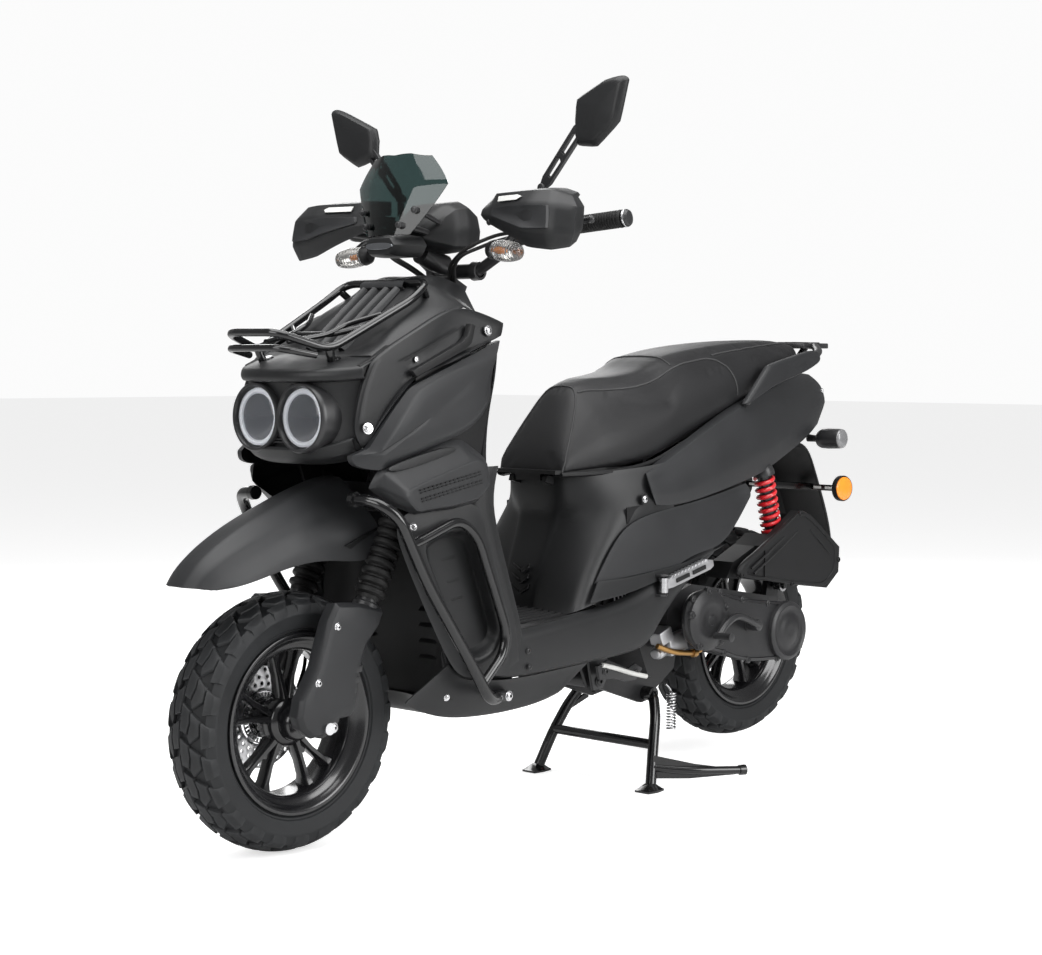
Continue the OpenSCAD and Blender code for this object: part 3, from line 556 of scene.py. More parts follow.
# fender: rows from the tip backwards, each from the middle out and down the side
fender = [
    [(0, -966, 504), (22, -962, 503), (40, -951, 502), (52, -938, 500), (58, -926, 498), (60, -918, 497)],
    [(0, -944, 536), (24, -940, 534), (44, -934, 523), (56, -920, 512), (64, -905, 502), (66, -896, 499)],
    [(0, -906, 566), (26, -904, 563), (48, -904, 547), (60, -892, 528), (70, -878, 510), (72, -872, 502)],
    [(0, -836, 604), (28, -836, 601), (52, -838, 576), (64, -834, 552), (74, -830, 524), (76, -828, 512)],
    [(0, -760, 635), (28, -760, 632), (53, -762, 604), (66, -764, 580), (76, -768, 550), (78, -770, 528)],
    [(0, -700, 658), (28, -700, 655), (53, -698, 624), (67, -696, 600), (78, -694, 570), (80, -692, 538)],
    [(0, -650, 674), (28, -650, 671), (53, -644, 638), (68, -636, 610), (81, -626, 580), (83, -620, 528)],
    [(0, -618, 682), (28, -618, 679), (53, -606, 646), (69, -592, 616), (83, -576, 586), (85, -570, 530)],
    [(0, -600, 684), (28, -600, 681), (53, -588, 650), (70, -572, 622), (84, -558, 596), (86, -554, 560)]]
Piece().quads(both_sides(fender), col_crease={1: 0.3, 2: 0.6, 3: 0.9, 4: 0.6, 6: 0.6, 7: 0.9, 8: 0.6,
                                              9: 0.3}).build(
                                                             "fender_shell", "steering", PANEL, sub=2,
                                                             thick=3, bevel=0.8, angle=50,
                                                             replaces=("front_fender",))
brace = Piece()
for sign in (-1, 1):
    brace.quads([at_x(sign * 83, (-640, 560), (-560, 590)), at_x(sign * 76, (-610, 548), (-552, 574))])
brace.build("fender_brace", "steering", DARK, thick=3, bevel=0.8)

# ---------------------------------------------------------------- front bodywork

# headlight mask: a recessed face between the brow and the chin, with a tube around each lamp
mask = Piece()
face_rows = [
    [(0, -724, 868), (40, -724, 868), (90, -712, 868), (128, -690, 870), (150, -664, 872), (158, -640, 874)],
    [(0, -716, 840), (40, -716, 840), (90, -706, 840), (132, -684, 842), (156, -650, 845), (162, -628, 846)],
    [(0, -712, 793), (40, -712, 793), (90, -702, 793), (134, -680, 793), (158, -646, 795), (164, -622, 797)],
    [(0, -712, 748), (40, -712, 748), (90, -702, 748), (130, -684, 750), (152, -656, 754), (160, -634, 758)],
    [(0, -712, 722), (40, -712, 722), (88, -704, 722), (122, -688, 726), (142, -668, 736), (152, -646, 744)]]
mask.quads(both_sides(face_rows))
mask.build("headlight_mask_face", "chassis", PLASTIC, sub=2, thick=3, replaces=("headlight_mask",))

brow = Piece()
brow_rows = []
for x, y, z, back in ((0, -748, 866, 0), (44, -746, 866, 0), (96, -730, 866, 2), (138, -698, 868, 6),
                      (163, -670, 873, 12)):
    brow_rows.append([(x * 0.97, y + 34, z - 8), (x, y + 4, z - 5), (x, y, z + 1), (x, y + 3, z + 10),
                      (x * 0.99, y + 30, z + 22), (x * 0.97, y + 62, z + 32),
                      (x * 0.94, y + 96, z + 38 + back)])
brow.quads(across(brow_rows), col_crease={1: 0.6, 3: 0.7})
brow.build("headlight_brow", "chassis", PLASTIC, sub=2, thick=3, bevel=0.7, angle=50)

corner = Piece()
for sign in (-1, 1):
    corner.prism([(sign * 148, y, z) for y, z in ((-640, 735), (-646, 860), (-672, 868), (-672, 888),
                                                  (-640, 902), (-600, 925), (-596, 735))],
                 (sign * 11, 0, 0))
corner.build("mask_corners", "chassis", DARK, bevel=1)

chin = Piece()
chin_rows = []
for x, y, z in ((0, -734, 738), (52, -732, 738), (84, -722, 740), (124, -704, 748), (150, -684, 758)):
    chin_rows.append([(x * 0.97, y + 26, z + 3), (x, y + 4, z + 2), (x, y, z - 3), (x * 0.97, y + 12, z - 22),
                      (x * 0.92, y + 30, z - 30), (x * 0.9, y + 62, z - 31)])
chin.quads(across(chin_rows), col_crease={1: 0.7, 2: 0.7, 3: 0.5})
chin.build("headlight_chin", "chassis", PLASTIC, sub=2, thick=3, bevel=0.7, angle=50)

slats = Piece()
for z0, step in ((858, -5.0), (747, 5.0)):
    for k in range(4):
        z = z0 + step * k
        w = 34 - k * 6
        slats.prism([(-w, -718 + 2 * k, z), (w, -718 + 2 * k, z), (w - 3, -718 + 2 * k, z + 2.6),
                     (-w + 3, -718 + 2 * k, z + 2.6)], (0, -6, 0))
slats.build("mask_slats", "chassis", SATIN, "body_plastic", bevel=0.7)

for sign, side in SIDES:
    c = (sign * 62, -718, 793)
    ring = Piece()
    ring.lathe([(-46, 56), (-46, 64), (2, 64.5), (11, 63.5), (13, 61.5), (13, 58), (8, 54.6), (-1, 54.2),
                (-46, 52)],
               c, (0, -1, 0), 72, caps=False)
    ring.build("headlight_bezel_" + side, "chassis", SATIN, "body_plastic", angle=40)
    halo = Piece()
    halo.lathe([(0, 54), (3.5, 53), (4.6, 48), (3.8, 43.5), (0, 42), (0, 54)], c, (0, -1, 0), 72, caps=False)
    halo.build("headlight_halo_" + side, "chassis", HALO_PAINTED_GLOW, angle=60)
    dish = Piece()
    dish.lathe([(1, 42.5), (-6, 40), (-16, 35), (-26, 26), (-31, 15), (-33, 12), (-33, 0.5)], c, (0, -1, 0),
               64)
    dish.build("headlight_bowl_" + side, "chassis", BOWL, angle=50)
    eye = Piece()
    eye.lathe([(-34, 17), (-20, 17), (-18, 15.5), (-14, 13), (-11, 8), (-10, 0.5)], c, (0, -1, 0), 48)
    eye.build("headlight_projector_" + side, "chassis", GLASS, angle=50)
    lens = Piece()
    lens.lathe([(2, 53.5), (6, 52), (9.5, 44), (11.5, 30), (12.4, 14), (12.6, 0.5), (10.8, 0.5), (10.4, 14),
                (9.5, 30), (7.5, 44), (4, 52)], c, (0, -1, 0), 72)
    lens.build("headlight_lens_" + side, "chassis", GLASS, angle=50,
               replaces=("headlight_lenses",) if sign > 0 else ())

# front cowl: from the brow up to the console below the handlebar
cowl_rows = [
    [(0, -652, 904), (60, -652, 904), (112, -648, 905), (146, -636, 906), (160, -618, 902), (166, -600, 894)],
    [(0, -612, 912), (58, -612, 913), (104, -606, 924), (140, -592, 930), (160, -574, 928), (170, -560, 920)],
    [(0, -592, 928), (56, -590, 930), (92, -574, 950), (128, -552, 962), (154, -530, 962), (168, -516, 952)],
    [(0, -530, 980), (56, -526, 982), (84, -508, 992), (116, -492, 998), (144, -474, 996), (162, -462, 984)],
    [(0, -462, 1036), (52, -458, 1038), (72, -444, 1044), (96, -426, 1036), (126, -410, 1018),
     (152, -400, 1000)],
    [(0, -432, 1056), (40, -430, 1060), (62, -404, 1062), (78, -382, 1044), (104, -368, 1016),
     (140, -352, 988)],
    [(0, -372, 1060), (40, -372, 1062), (62, -366, 1058), (74, -350, 1036), (94, -334, 1004),
     (128, -324, 972)],
    [(0, -312, 1046), (40, -312, 1046), (60, -308, 1040), (70, -302, 1016), (88, -298, 984),
     (120, -300, 952)],
    [(0, -296, 1004), (40, -296, 1004), (60, -294, 1000), (72, -290, 980), (90, -288, 950), (122, -290, 920)]]
cowl = Piece().quads(both_sides(cowl_rows), row_crease={1: 0.4, 4: 0.5, 7: 0.6},
                     col_crease={2: 0.55, 8: 0.55, 3: 0.5, 7: 0.5})
cowl.build("front_cowl_shell", "chassis", PLASTIC, sub=2, thick=3, replaces=("front_cowl",))
console = Piece()
for x in (-44, -16, 16, 44):
    console.quads([[(x - 7, -610, 914), (x - 3.5, -618, 920), (x + 3.5, -618, 920), (x + 7, -610, 914)],
                   [(x - 7, -528, 980), (x - 3.5, -536, 988), (x + 3.5, -536, 988), (x + 7, -528, 980)],
                   [(x - 6, -468, 1030), (x - 3, -475, 1035), (x + 3, -475, 1035), (x + 6, -468, 1030)]])
console.quads([[(-58, -464, 1030), (-58, -474, 1034), (-58, -470, 1046), (-52, -456, 1050)],
               [(58, -464, 1030), (58, -474, 1034), (58, -470, 1046), (52, -456, 1050)]], cap_start=False)
console.build("console_ribs", "chassis", PANEL, sub=1, thick=-2, angle=40)

# side panels: cheek plate on top, the wide wing, and the pod below it
cheek_out = [(158, -664, 741), (161, -688, 768), (162, -682, 806), (164, -672, 850), (166, -650, 894),
             (170, -612, 922), (172, -548, 952), (170, -480, 986), (164, -424, 1000), (172, -360, 985),
             (182, -322, 969), (186, -332, 946), (190, -380, 930), (192, -424, 914), (192, -470, 894),
             (190, -510, 886), (188, -556, 872), (184, -588, 846), (178, -620, 812), (168, -646, 772)]
for sign, side in SIDES:
    outer = on_side(sign, cheek_out)
    pad([shifted(shrunk(outer, 0.99), (-sign * 10, 0, 0)), shifted(outer, (-sign * 2, 0, 0)),
         shrunk(outer, 0.965, (sign * 3, 0, 0)), shrunk(outer, 0.6, (sign * 5, 0, 0))],
        crease={1: 0.9, 2: 0.8}, col_crease={0: 0.8, 4: 0.5, 10: 0.9, 11: 0.7, 17: 0.5}).build(
        "cheek_panel_" + side, "chassis", PLASTIC, sub=2, replaces=("front_side_panels",) if sign > 0 else ())
    slot = [(sign * 194, y, z) for y, z in ((-576, 878), (-566, 868), (-440, 918), (-424, 930), (-414, 962),
                                            (-426, 966), (-434, 944), (-448, 932))]
    groove = Piece().prism([add(p, (-sign * 12, 0, 0)) for p in slot], (sign * 13.2, 0, 0))
    groove.quads([[(sign * 187, -590, 898), (sign * 187, -588, 895)],
                  [(sign * 187, -440, 962), (sign * 187, -438, 959)]])
    groove.build("cheek_slot_" + side, "chassis", DARK, bevel=0.8)
    wing = [(172, -662, 741), (158, -692, 727), (160, -690, 706), (178, -642, 700), (182, -600, 714),
            (186, -520, 738), (188, -437, 762), (190, -392, 790), (190, -366, 826), (190, -368, 864),
            (188, -338, 938), (190, -430, 904), (190, -506, 876), (186, -574, 850), (182, -606, 816),
            (178, -640, 772)]
    inner = [(186, -646, 733), (178, -662, 731), (182, -654, 729), (190, -640, 728), (192, -600, 738),
             (195, -520, 752), (197, -458, 768), (198, -406, 792), (198, -382, 826), (198, -382, 862),
             (196, -356, 908), (197, -430, 890), (197, -500, 872), (196, -556, 846), (195, -592, 808),
             (193, -622, 766)]
    wing = on_side(sign, wing)
    inner = on_side(sign, inner)
    pad([shifted(wing, (-sign * 12, 0, 0)), wing, inner, shrunk(inner, 0.7, (sign * 4, 0, 0)),
         shrunk(inner, 0.3, (sign * 5, 0, 0))], crease={1: 0.85, 2: 0.95},
        col_crease={0: 0.6, 1: 0.9, 3: 0.6, 8: 0.4, 9: 0.6, 10: 0.95, 13: 0.4}).build(
        "wing_panel_" + side, "chassis", PANEL, sub=2)
    pod_back = [(172, -640, 702), (160, -655, 668), (166, -600, 636), (178, -556, 616), (184, -470, 626),
                (186, -396, 632), (188, -372, 664), (186, -378, 716), (184, -440, 752), (180, -490, 748),
                (176, -560, 728)]
    pod_rim = [(186, -640, 696), (178, -640, 668), (184, -606, 640), (190, -562, 620), (193, -470, 624),
               (196, -410, 634), (200, -380, 664), (198, -388, 712), (190, -446, 742), (188, -490, 738),
               (187, -560, 718)]
    pod_face = [(202, -598, 664), (203, -600, 652), (204, -590, 640), (205, -572, 624), (206, -490, 630),
                (206, -412, 642), (206, -384, 666), (206, -392, 706), (204, -416, 717), (203, -500, 694),
                (202, -576, 672)]
    loops = [on_side(sign, loop) for loop in (pod_back, pod_rim, pod_face)]
    loops += [shrunk(loops[2], 0.93, (sign * 1.5, 0, 0)), shrunk(loops[2], 0.5, (sign * 2, 0, 0))]
    pad(loops, crease={1: 0.75, 2: 0.95, 3: 0.8}, col_crease={k: 0.5 for k in range(11)}).build(
        "pod_panel_" + side, "chassis", PANEL, sub=2)
    dashes = Piece()
    for row in range(2):
        for k in range(15):
            t = k / 14
            y = -566 + 150 * t + row * 4
            z = (664 if row == 0 else 646) + 27 * t + row * 2
            dashes.box((sign * 207.2, y, z), (2.4, 7.0, 2.2), 10)
            dashes.box((sign * 207.2, y + 2, z - 5), (2.4, 7.0, 1.4), 10)
    dashes.build("pod_grooves_" + side, "chassis", DARK)
    shelf = [(sign * x, y, z) for x, y, z in ((193, -598, 697), (195, -465, 729), (196, -462, 735),
                                              (193, -481, 743), (190, -622, 711), (190, -640, 700))]
    pad([shifted(shelf, (-sign * 6, 0, 0)), shelf, shrunk(shelf, 0.86, (sign * 1.2, 0, 0))],
        crease={1: 0.8}).build(
                               "pod_shelf_" + side, "chassis", PLASTIC, sub=2)
    screws = Piece()
    for x, y, z, r in ((176, -668, 776, 8), (190, -374, 954, 8), (184, -554, 899, 4.5)):
        screws.bolt((sign * (x - 1), y, z), (sign, -0.3 if y < -600 else 0, 0.1), r)
    screws.build("cheek_screws_" + side, "chassis", STEEL)

# front rack and crash bars, bent tube
rack = Piece()
loop = [(66, -790, 946), (98, -690, 916), (120, -500, 1012), (112, -456, 1044)]
rack.pipe(flipped(loop) + loop[::-1], 7.5, 26, closed=True)
rack.pipe(flipped([(92, -716, 906)]) + [(-70, -786, 918), (70, -786, 918), (92, -716, 906)], 6.5, 22)
rack.pipe([(-104, -600, 960), (-50, -640, 944), (50, -640, 944), (104, -600, 960)], 5.5, 20)
rack.pipe([(-96, -560, 982), (-52, -610, 962), (-52, -650, 944), (-30, -730, 930)], 5, 18)
rack.pipe([(96, -560, 982), (52, -610, 962), (52, -650, 944), (30, -730, 930)], 5, 18)
for sign in (-1, 1):
    rack.pipe([(sign * 98, -690, 916), (sign * 96, -684, 900), (sign * 92, -676, 888)], 8, 8)
    rack.lathe([(0, 13), (3, 13), (5, 10), (5, 7)], (sign * 92, -674, 898), (0, -0.3, 1), 24)
    rack.pipe([(sign * 114, -470, 1030), (sign * 104, -452, 1012), (sign * 98, -440, 1000)], 7, 8)
rack.build("front_rack_tube", "chassis", GLOSS, replaces=("front_rack",))
for sign, side in SIDES:
    bars = Piece()
    main = [(130, -668, 648), (186, -660, 646), (214, -628, 618), (216, -560, 494), (216, -440, 330),
            (214, -392, 262), (190, -342, 258), (160, -326, 258)]
    loop = [(216, -602, 566), (212, -580, 570), (211, -472, 606), (211, -424, 572), (210, -344, 388),
            (210, -352, 344), (213, -412, 292)]
    bars.pipe(on_side(sign, main), 11, 38, 18)
    bars.pipe(on_side(sign, loop), 9, 34, 16)
    bars.lathe([(-4, 6), (-4, 13), (8, 14), (8, 6)], (sign * 136, -668, 648), (sign, 0.1, 0), 24)
    bars.build("crash_bar_" + side, "chassis", GLOSS, replaces=("crash_bars",) if sign > 0 else ())
    foot = Piece()
    foot.prism(on_side(sign, [(150, -352, 268), (150, -300, 266), (150, -306, 250), (150, -350, 250)]),
               (sign * 42, 0, 0))
    foot.build("crash_bar_foot_" + side, "chassis", SATIN, bevel=3)
    caps = Piece().bolt((sign * 192, -316, 259), (sign, 0, 0), 8).bolt((sign * 186, -566, 596), (sign, -1, 0),
                                                                       6)
    caps.build("crash_bar_bolts_" + side, "chassis", STEEL)

    # leg shield: a panel with a deep rounded pocket inside the tube loop
    rim_line = [(-540, 566), (-510, 584), (-448, 594), (-420, 582), (-404, 548), (-346, 404), (-340, 376),
                (-352, 350), (-396, 332), (-424, 338), (-440, 360), (-534, 540)]
    outer_line = [(-600, 612), (-520, 640), (-420, 634), (-396, 620), (-376, 560), (-318, 404), (-306, 370),
                  (-318, 322), (-390, 300), (-436, 306), (-464, 352), (-580, 560)]
    xo = [168, 180, 192, 194, 194, 192, 190, 188, 182, 172, 164, 160]
    xr = [184, 190, 194, 196, 196, 195, 194, 193, 191, 187, 183, 181]
    xf = [166, 166, 167, 168, 168, 168, 168, 168, 167, 166, 165, 165]
    loops = [[(sign * x, y, z) for x, (y, z) in zip(xo, outer_line)],
             [(sign * x, y, z) for x, (y, z) in zip(xr, rim_line)]]
    floor_loop = [(sign * x, p[1], p[2]) for x, p in zip(xf, shrunk(loops[1], 0.86, (0, 4, 0)))]
    loops += [shrunk(loops[1], 0.965, (-sign * 1.5, 0, 0)), floor_loop, shrunk(floor_loop, 0.55)]
    pad(loops, crease={1: 0.5, 2: 0.5, 3: 0.4}).build(
        "leg_shield_" + side, "chassis", PLASTIC, sub=2, thick=-2.5 if sign < 0 else 2.5,
        replaces=("leg_shield",) if sign > 0 else ())
    marks = Piece()
    for y, z, w in ((-492, 562, 52), (-478, 528, 54), (-462, 486, 52), (-450, 452, 54)):
        marks.prism(on_side(sign, [(168, y, z), (168, y + w, z + 14), (168, y + w, z + 3),
                                   (168, y + 4, z - 2)]), (sign * 1.4, 0, 0))
    marks.build("leg_shield_marks_" + side, "chassis", DARK, bevel=0.5)
    # outer edge strip from the wing down to the floor
    strip = [on_side(sign, [(196, -352, 700), (200, -372, 700), (194, -404, 700), (176, -416, 698)]),
             on_side(sign, [(195, -372, 632), (199, -392, 632), (195, -420, 630), (180, -436, 628)]),
             on_side(sign, [(192, -336, 540), (197, -356, 538), (195, -378, 536), (190, -396, 534)]),
             on_side(sign, [(190, -298, 440), (195, -316, 436), (193, -334, 432), (188, -350, 430)]),
             on_side(sign, [(188, -274, 380), (193, -292, 374), (192, -310, 366), (186, -328, 360)]),
             on_side(sign, [(186, -270, 330), (190, -288, 322), (188, -310, 312), (182, -340, 300)])]
    Piece().quads(strip, col_crease={1: 0.5, 2: 0.5}).build(
        "shield_edge_" + side, "chassis", PLASTIC, sub=2, thick=3)

# rider side of the leg shield, with the lid of the glove box and a bag hook
knee_rows = [
    [(0, -298, 1000), (44, -298, 1000), (70, -292, 978), (96, -292, 944), (128, -300, 925), (160, -322, 925)],
    [(0, -284, 880), (48, -284, 880), (84, -284, 880), (112, -290, 878), (140, -306, 872), (164, -330, 868)],
    [(0, -278, 800), (46, -279, 800), (84, -288, 800), (112, -304, 796), (138, -324, 790), (160, -350, 786)],
    [(0, -276, 700), (46, -277, 700), (84, -290, 700), (112, -308, 698), (138, -330, 696), (166, -374, 694)],
    [(0, -268, 590), (50, -270, 590), (94, -282, 590), (126, -302, 588), (154, -330, 586), (180, -360, 584)],
    [(0, -256, 460), (52, -256, 460), (98, -258, 460), (134, -268, 458), (162, -290, 456), (182, -322, 455)],
    [(0, -258, 385), (52, -258, 385), (98, -260, 385), (136, -268, 385), (162, -292, 386), (180, -318, 388)]]
Piece().quads(both_sides(knee_rows), col_crease={2: 0.3, 8: 0.3}).build(
    "knee_panel", "chassis", PLASTIC, sub=2, thick=-3, replaces=("inner_leg_cover",))
lid = [(-62, -280, 836), (62, -280, 836), (68, -274, 716), (-68, -274, 716)]
pad([shifted(lid, (0, -8, 0)), shifted(lid, (0, 4, 0)), shrunk(lid, 0.96, (0, 7, 0)),
     shrunk(lid, 0.6, (0, 8, 0))],
    crease={1: 0.8, 2: 0.8}, col_crease={k: 0.7 for k in range(4)}).build(
    "glove_box_lid", "chassis", PANEL, sub=2)
Piece().box((0, -271, 818), (38, 6, 12)).build("glove_box_latch", "chassis", SATIN, "dark_plastic", bevel=2)
walls = Piece()
for sign in (-1, 1):
    walls.prism([(sign * 160, y, z) for y, z in ((-335, 925), (-338, 880), (-354, 786), (-376, 694),
                                                 (-362, 600), (-420, 600), (-520, 660), (-560, 760),
                                                 (-540, 880))],
                (sign * 8, 0, 0))
walls.build("shield_side_walls", "chassis", DARK, bevel=1)
hook = Piece().pipe([(0, -284, 908), (0, -254, 904), (0, -248, 922)], 5, 14)
hook.lathe([(-2, 6), (0, 12), (5, 12), (6, 10)], (0, -281, 907), (0, 1, 0), 24)
hook.build("bag_hook", "chassis", SATIN)

# front of the legs: the dark inner mudguard with its louvres, behind the wheel
inner_guard = [[(0, -410, 612), (60, -410, 612), (110, -404, 630), (146, -430, 664), (156, -480, 684)],
               [(0, -414, 560), (60, -414, 560), (110, -406, 560), (148, -428, 560), (158, -470, 566)],
               [(0, -418, 440), (60, -420, 440), (110, -424, 440), (148, -450, 430), (160, -480, 420)],
               [(0, -420, 330), (60, -420, 330), (110, -428, 330), (144, -446, 320), (162, -446, 310)],
               [(0, -424, 262), (60, -424, 262), (110, -430, 262), (140, -450, 270), (158, -430, 280)]]
Piece().quads(both_sides(inner_guard)).build("inner_guard", "chassis", DARK, sub=2, thick=3)
louvres = Piece()
for sign in (-1, 1):
    for k in range(4):
        z = 424 - k * 30
        louvres.prism(on_side(sign, [(60, -424, z), (116, -433, z + 2), (116, -427, z + 9),
                                     (60, -418, z + 7)]), (0, -6, -3))
louvres.build("guard_louvres", "chassis", DARK, bevel=0.8)

# floor, skirts and belly
deck = [[(0, -290, 378), (80, -290, 378), (150, -288, 379), (176, -286, 380)],
        [(0, -200, 384), (80, -200, 384), (150, -200, 386), (178, -200, 389)],
        [(0, -100, 391), (80, -100, 391), (150, -100, 393), (180, -100, 397)],
        [(0, 30, 399), (80, 30, 399), (150, 30, 401), (181, 30, 405)]]
Piece().quads(both_sides(deck), col_crease={2: 0.5, 4: 0.5}).build(
    "floor_deck", "chassis", DARK, sub=2, thick=3, replaces=("floorboard",))
treads = Piece()
for k in range(-6, 7):
    treads.quads([[(k * 22 - 4, -268, 381.5), (k * 22 - 2, -268, 384.5), (k * 22 + 2, -268, 384.5),
                   (k * 22 + 4, -268, 381.5)],
                  [(k * 22 - 4, 0, 398.5), (k * 22 - 2, 0, 401.5), (k * 22 + 2, 0, 401.5),
                   (k * 22 + 4, 0, 398.5)]])
treads.build("floor_treads", "chassis", MAT_FLOOR, thick=-1)
skirt = [
    [(168, -296, 380), (180, -296, 378), (188, -298, 364), (190, -318, 330), (184, -352, 300),
     (168, -366, 296)],
    [(170, -250, 384), (182, -250, 382), (190, -250, 368), (192, -262, 330), (186, -286, 292),
     (168, -290, 286)],
    [(172, -170, 392), (184, -170, 390), (192, -170, 376), (194, -172, 336), (188, -176, 298),
     (170, -176, 290)],
    [(172, -60, 402), (184, -60, 400), (192, -60, 386), (194, -60, 344), (188, -60, 304), (170, -60, 296)],
    [(172, 10, 410), (184, 10, 408), (192, 10, 394), (194, 14, 350), (188, 20, 306), (170, 20, 298)],
    [(174, 70, 426), (184, 72, 424), (192, 80, 408), (194, 96, 360), (188, 106, 314), (170, 108, 306)],
    [(176, 130, 446), (186, 134, 444), (193, 146, 430), (194, 160, 402), (188, 166, 386), (170, 168, 382)],
    [(178, 230, 486), (187, 232, 482), (193, 238, 472), (193, 244, 454), (188, 248, 446), (172, 250, 442)],
    [(178, 318, 512), (186, 320, 508), (190, 322, 502), (190, 324, 494), (186, 324, 490), (174, 324, 488)]]
for sign, side in SIDES:
    rows = [on_side(sign, r) for r in skirt]
    Piece().quads(rows, col_crease={2: 0.55, 4: 0.5}, row_crease={5: 0.3}).build(
        "side_skirt_" + side, "chassis", PLASTIC, sub=2, thick=3 * sign)
belly_rows = [[(0, -428, 262), (84, -440, 262), (140, -546, 266), (153, -516, 290), (160, -450, 330)],
              [(0, -422, 238), (84, -432, 236), (136, -486, 236), (156, -470, 262), (164, -430, 300)],
              [(0, -400, 216), (90, -400, 216), (136, -396, 220), (158, -390, 246), (170, -370, 292)],
              [(0, -290, 212), (90, -290, 212), (136, -288, 216), (158, -286, 242), (172, -290, 286)],
              [(0, -170, 218), (90, -170, 218), (134, -168, 222), (154, -166, 248), (168, -170, 290)],
              [(0, -112, 230), (90, -110, 230), (130, -106, 236), (148, -90, 262), (166, -60, 296)]]
Piece().quads(both_sides(belly_rows), col_crease={2: 0.4, 6: 0.4}).build(
    "belly_pan", "chassis", PLASTIC, sub=2, thick=3, replaces=("lower_cover",))
filler = Piece()
for sign in (-1, 1):
    filler.prism([(sign * 156, y, z) for y, z in ((-466, 350), (-446, 262), (-290, 252), (-262, 300),
                                                  (-270, 420), (-430, 420))], (sign * 3, 0, 0))
filler.build("shield_filler", "chassis", DARK, bevel=1)
pins = Piece()
for sign in (-1, 1):
    for y, z in ((-262, 340), (-258, 308)):
        pins.bolt((sign * 192.5, y, z), (sign, 0, 0), 4.5)
pins.build("skirt_screws", "chassis", SATIN)
Piece().bolt((158, -452, 268), (1, -0.6, 0), 5.5).bolt((-158, -452, 268), (-1, -0.6, 0), 5.5).build(
    "belly_screws", "chassis", STEEL)

# ---------------------------------------------------------------- rear bodywork

body_shell = [
    [(0, -32, 672), (50, -31, 672), (69, -25, 672), (96, -4, 670), (118, 40, 671), (142, 110, 676),
     (156, 204, 687)],
    [(0, -34, 634), (54, -33, 634), (74, -26, 634), (104, 4, 634), (134, 52, 636), (158, 120, 640),
     (168, 202, 646)],
    [(0, -24, 581), (44, -23, 581), (58, -16, 581), (98, -2, 581), (142, 26, 584), (170, 76, 594),
     (172, 202, 604)],
    [(0, -48, 520), (40, -47, 520), (52, -42, 520), (96, -30, 520), (144, -14, 522), (169, 8, 530),
     (169, 220, 556)],
    [(0, -77, 456), (38, -76, 456), (46, -73, 456), (94, -72, 454), (146, -66, 452), (170, -46, 456),
     (170, 230, 500)],
    [(0, -80, 388), (30, -79, 388), (36, -78, 388), (88, -92, 388), (148, -104, 390), (180, -104, 400),
     (172, 230, 480)]]
Piece().quads(both_sides(body_shell),
              col_crease={4: 0.75, 8: 0.75, 5: 0.3, 7: 0.3}, row_crease={2: 0.4}).build(
    "seat_column", "chassis", PLASTIC, sub=2, thick=3, replaces=("body_panels",))
vents, vent_lips = Piece(), Piece()
for k in range(3):
    z, y = 468 - 21 * k, -73 - 3 * min(1, k)
    for sign in (-1, 1):
        vents.prism(on_side(sign, [(2, y - 1, z - 2), (24, y - 1, z + 11), (24, y - 1, z + 17),
                                   (2, y - 1, z + 5)]), (0, -3.5, 0))
    vent_lips.prism([(3, y - 2, z - 5), (24, y - 2, z + 8), (24, y - 2, z + 11), (3, y - 2, z - 2)],
                    (0, -4.5, 0))
vents.build("column_vents", "chassis", DARK, bevel=0.6)
vent_lips.build("column_vent_lips", "chassis", PANEL, "dark_plastic", bevel=0.6)

belly_band = [[(170, -44, 452), (171, -18, 490), (171, 16, 532), (172, 62, 572), (173, 168, 590),
               (171, 301, 603), (160, 470, 632)],
              [(178, 20, 458), (180, 44, 492), (180, 78, 526), (181, 118, 552), (181, 186, 572),
               (179, 292, 584), (164, 474, 626)],
              [(184, 118, 466), (186, 130, 488), (187, 147, 511), (187, 172, 530), (186, 205, 546),
               (184, 286, 560), (167, 476, 618)],
              [(187, 160, 468), (189, 176, 488), (190, 196, 504), (190, 226, 516), (189, 262, 524),
               (187, 330, 530), (168, 478, 610)],
              [(188, 200, 474), (190, 216, 482), (191, 240, 490), (191, 270, 496), (190, 300, 500),
               (187, 370, 512), (168, 476, 604)]]
low_band = [[(178, -44, 456), (184, 40, 458), (188, 120, 466), (190, 200, 474), (190, 280, 490),
             (187, 360, 508)],
            [(182, -60, 436), (187, 30, 440), (190, 110, 452), (191, 200, 466), (190, 280, 486),
             (187, 340, 502)],
            [(184, -74, 416), (189, 20, 424), (191, 100, 440), (191, 190, 460), (190, 270, 482),
             (186, 326, 498)]]
tail = [
    [(140, 150, 668), (138, 202, 690), (134, 317, 742), (126, 437, 790), (112, 530, 818), (92, 651, 852),
     (72, 760, 872), (50, 806, 872)],
    [(156, 134, 664), (156, 202, 686), (152, 317, 738), (145, 437, 786), (134, 527, 810), (118, 651, 850),
     (98, 764, 870), (80, 818, 868)],
    [(172, 122, 650), (176, 200, 658), (173, 320, 700), (165, 440, 742), (154, 540, 772), (136, 650, 806),
     (112, 768, 838), (88, 860, 846)],
    [(176, 126, 632), (180, 202, 622), (177, 330, 654), (169, 450, 684), (157, 550, 706), (138, 656, 742),
     (114, 774, 780), (88, 874, 806)],
    [(172, 146, 604), (174, 214, 598), (171, 352, 620), (160, 462, 640), (148, 549, 654), (130, 655, 688),
     (108, 778, 728), (86, 846, 756)],
    [(160, 154, 600), (162, 218, 596), (158, 356, 618), (148, 466, 640), (138, 552, 654), (120, 658, 688),
     (98, 780, 728), (76, 846, 756)]]
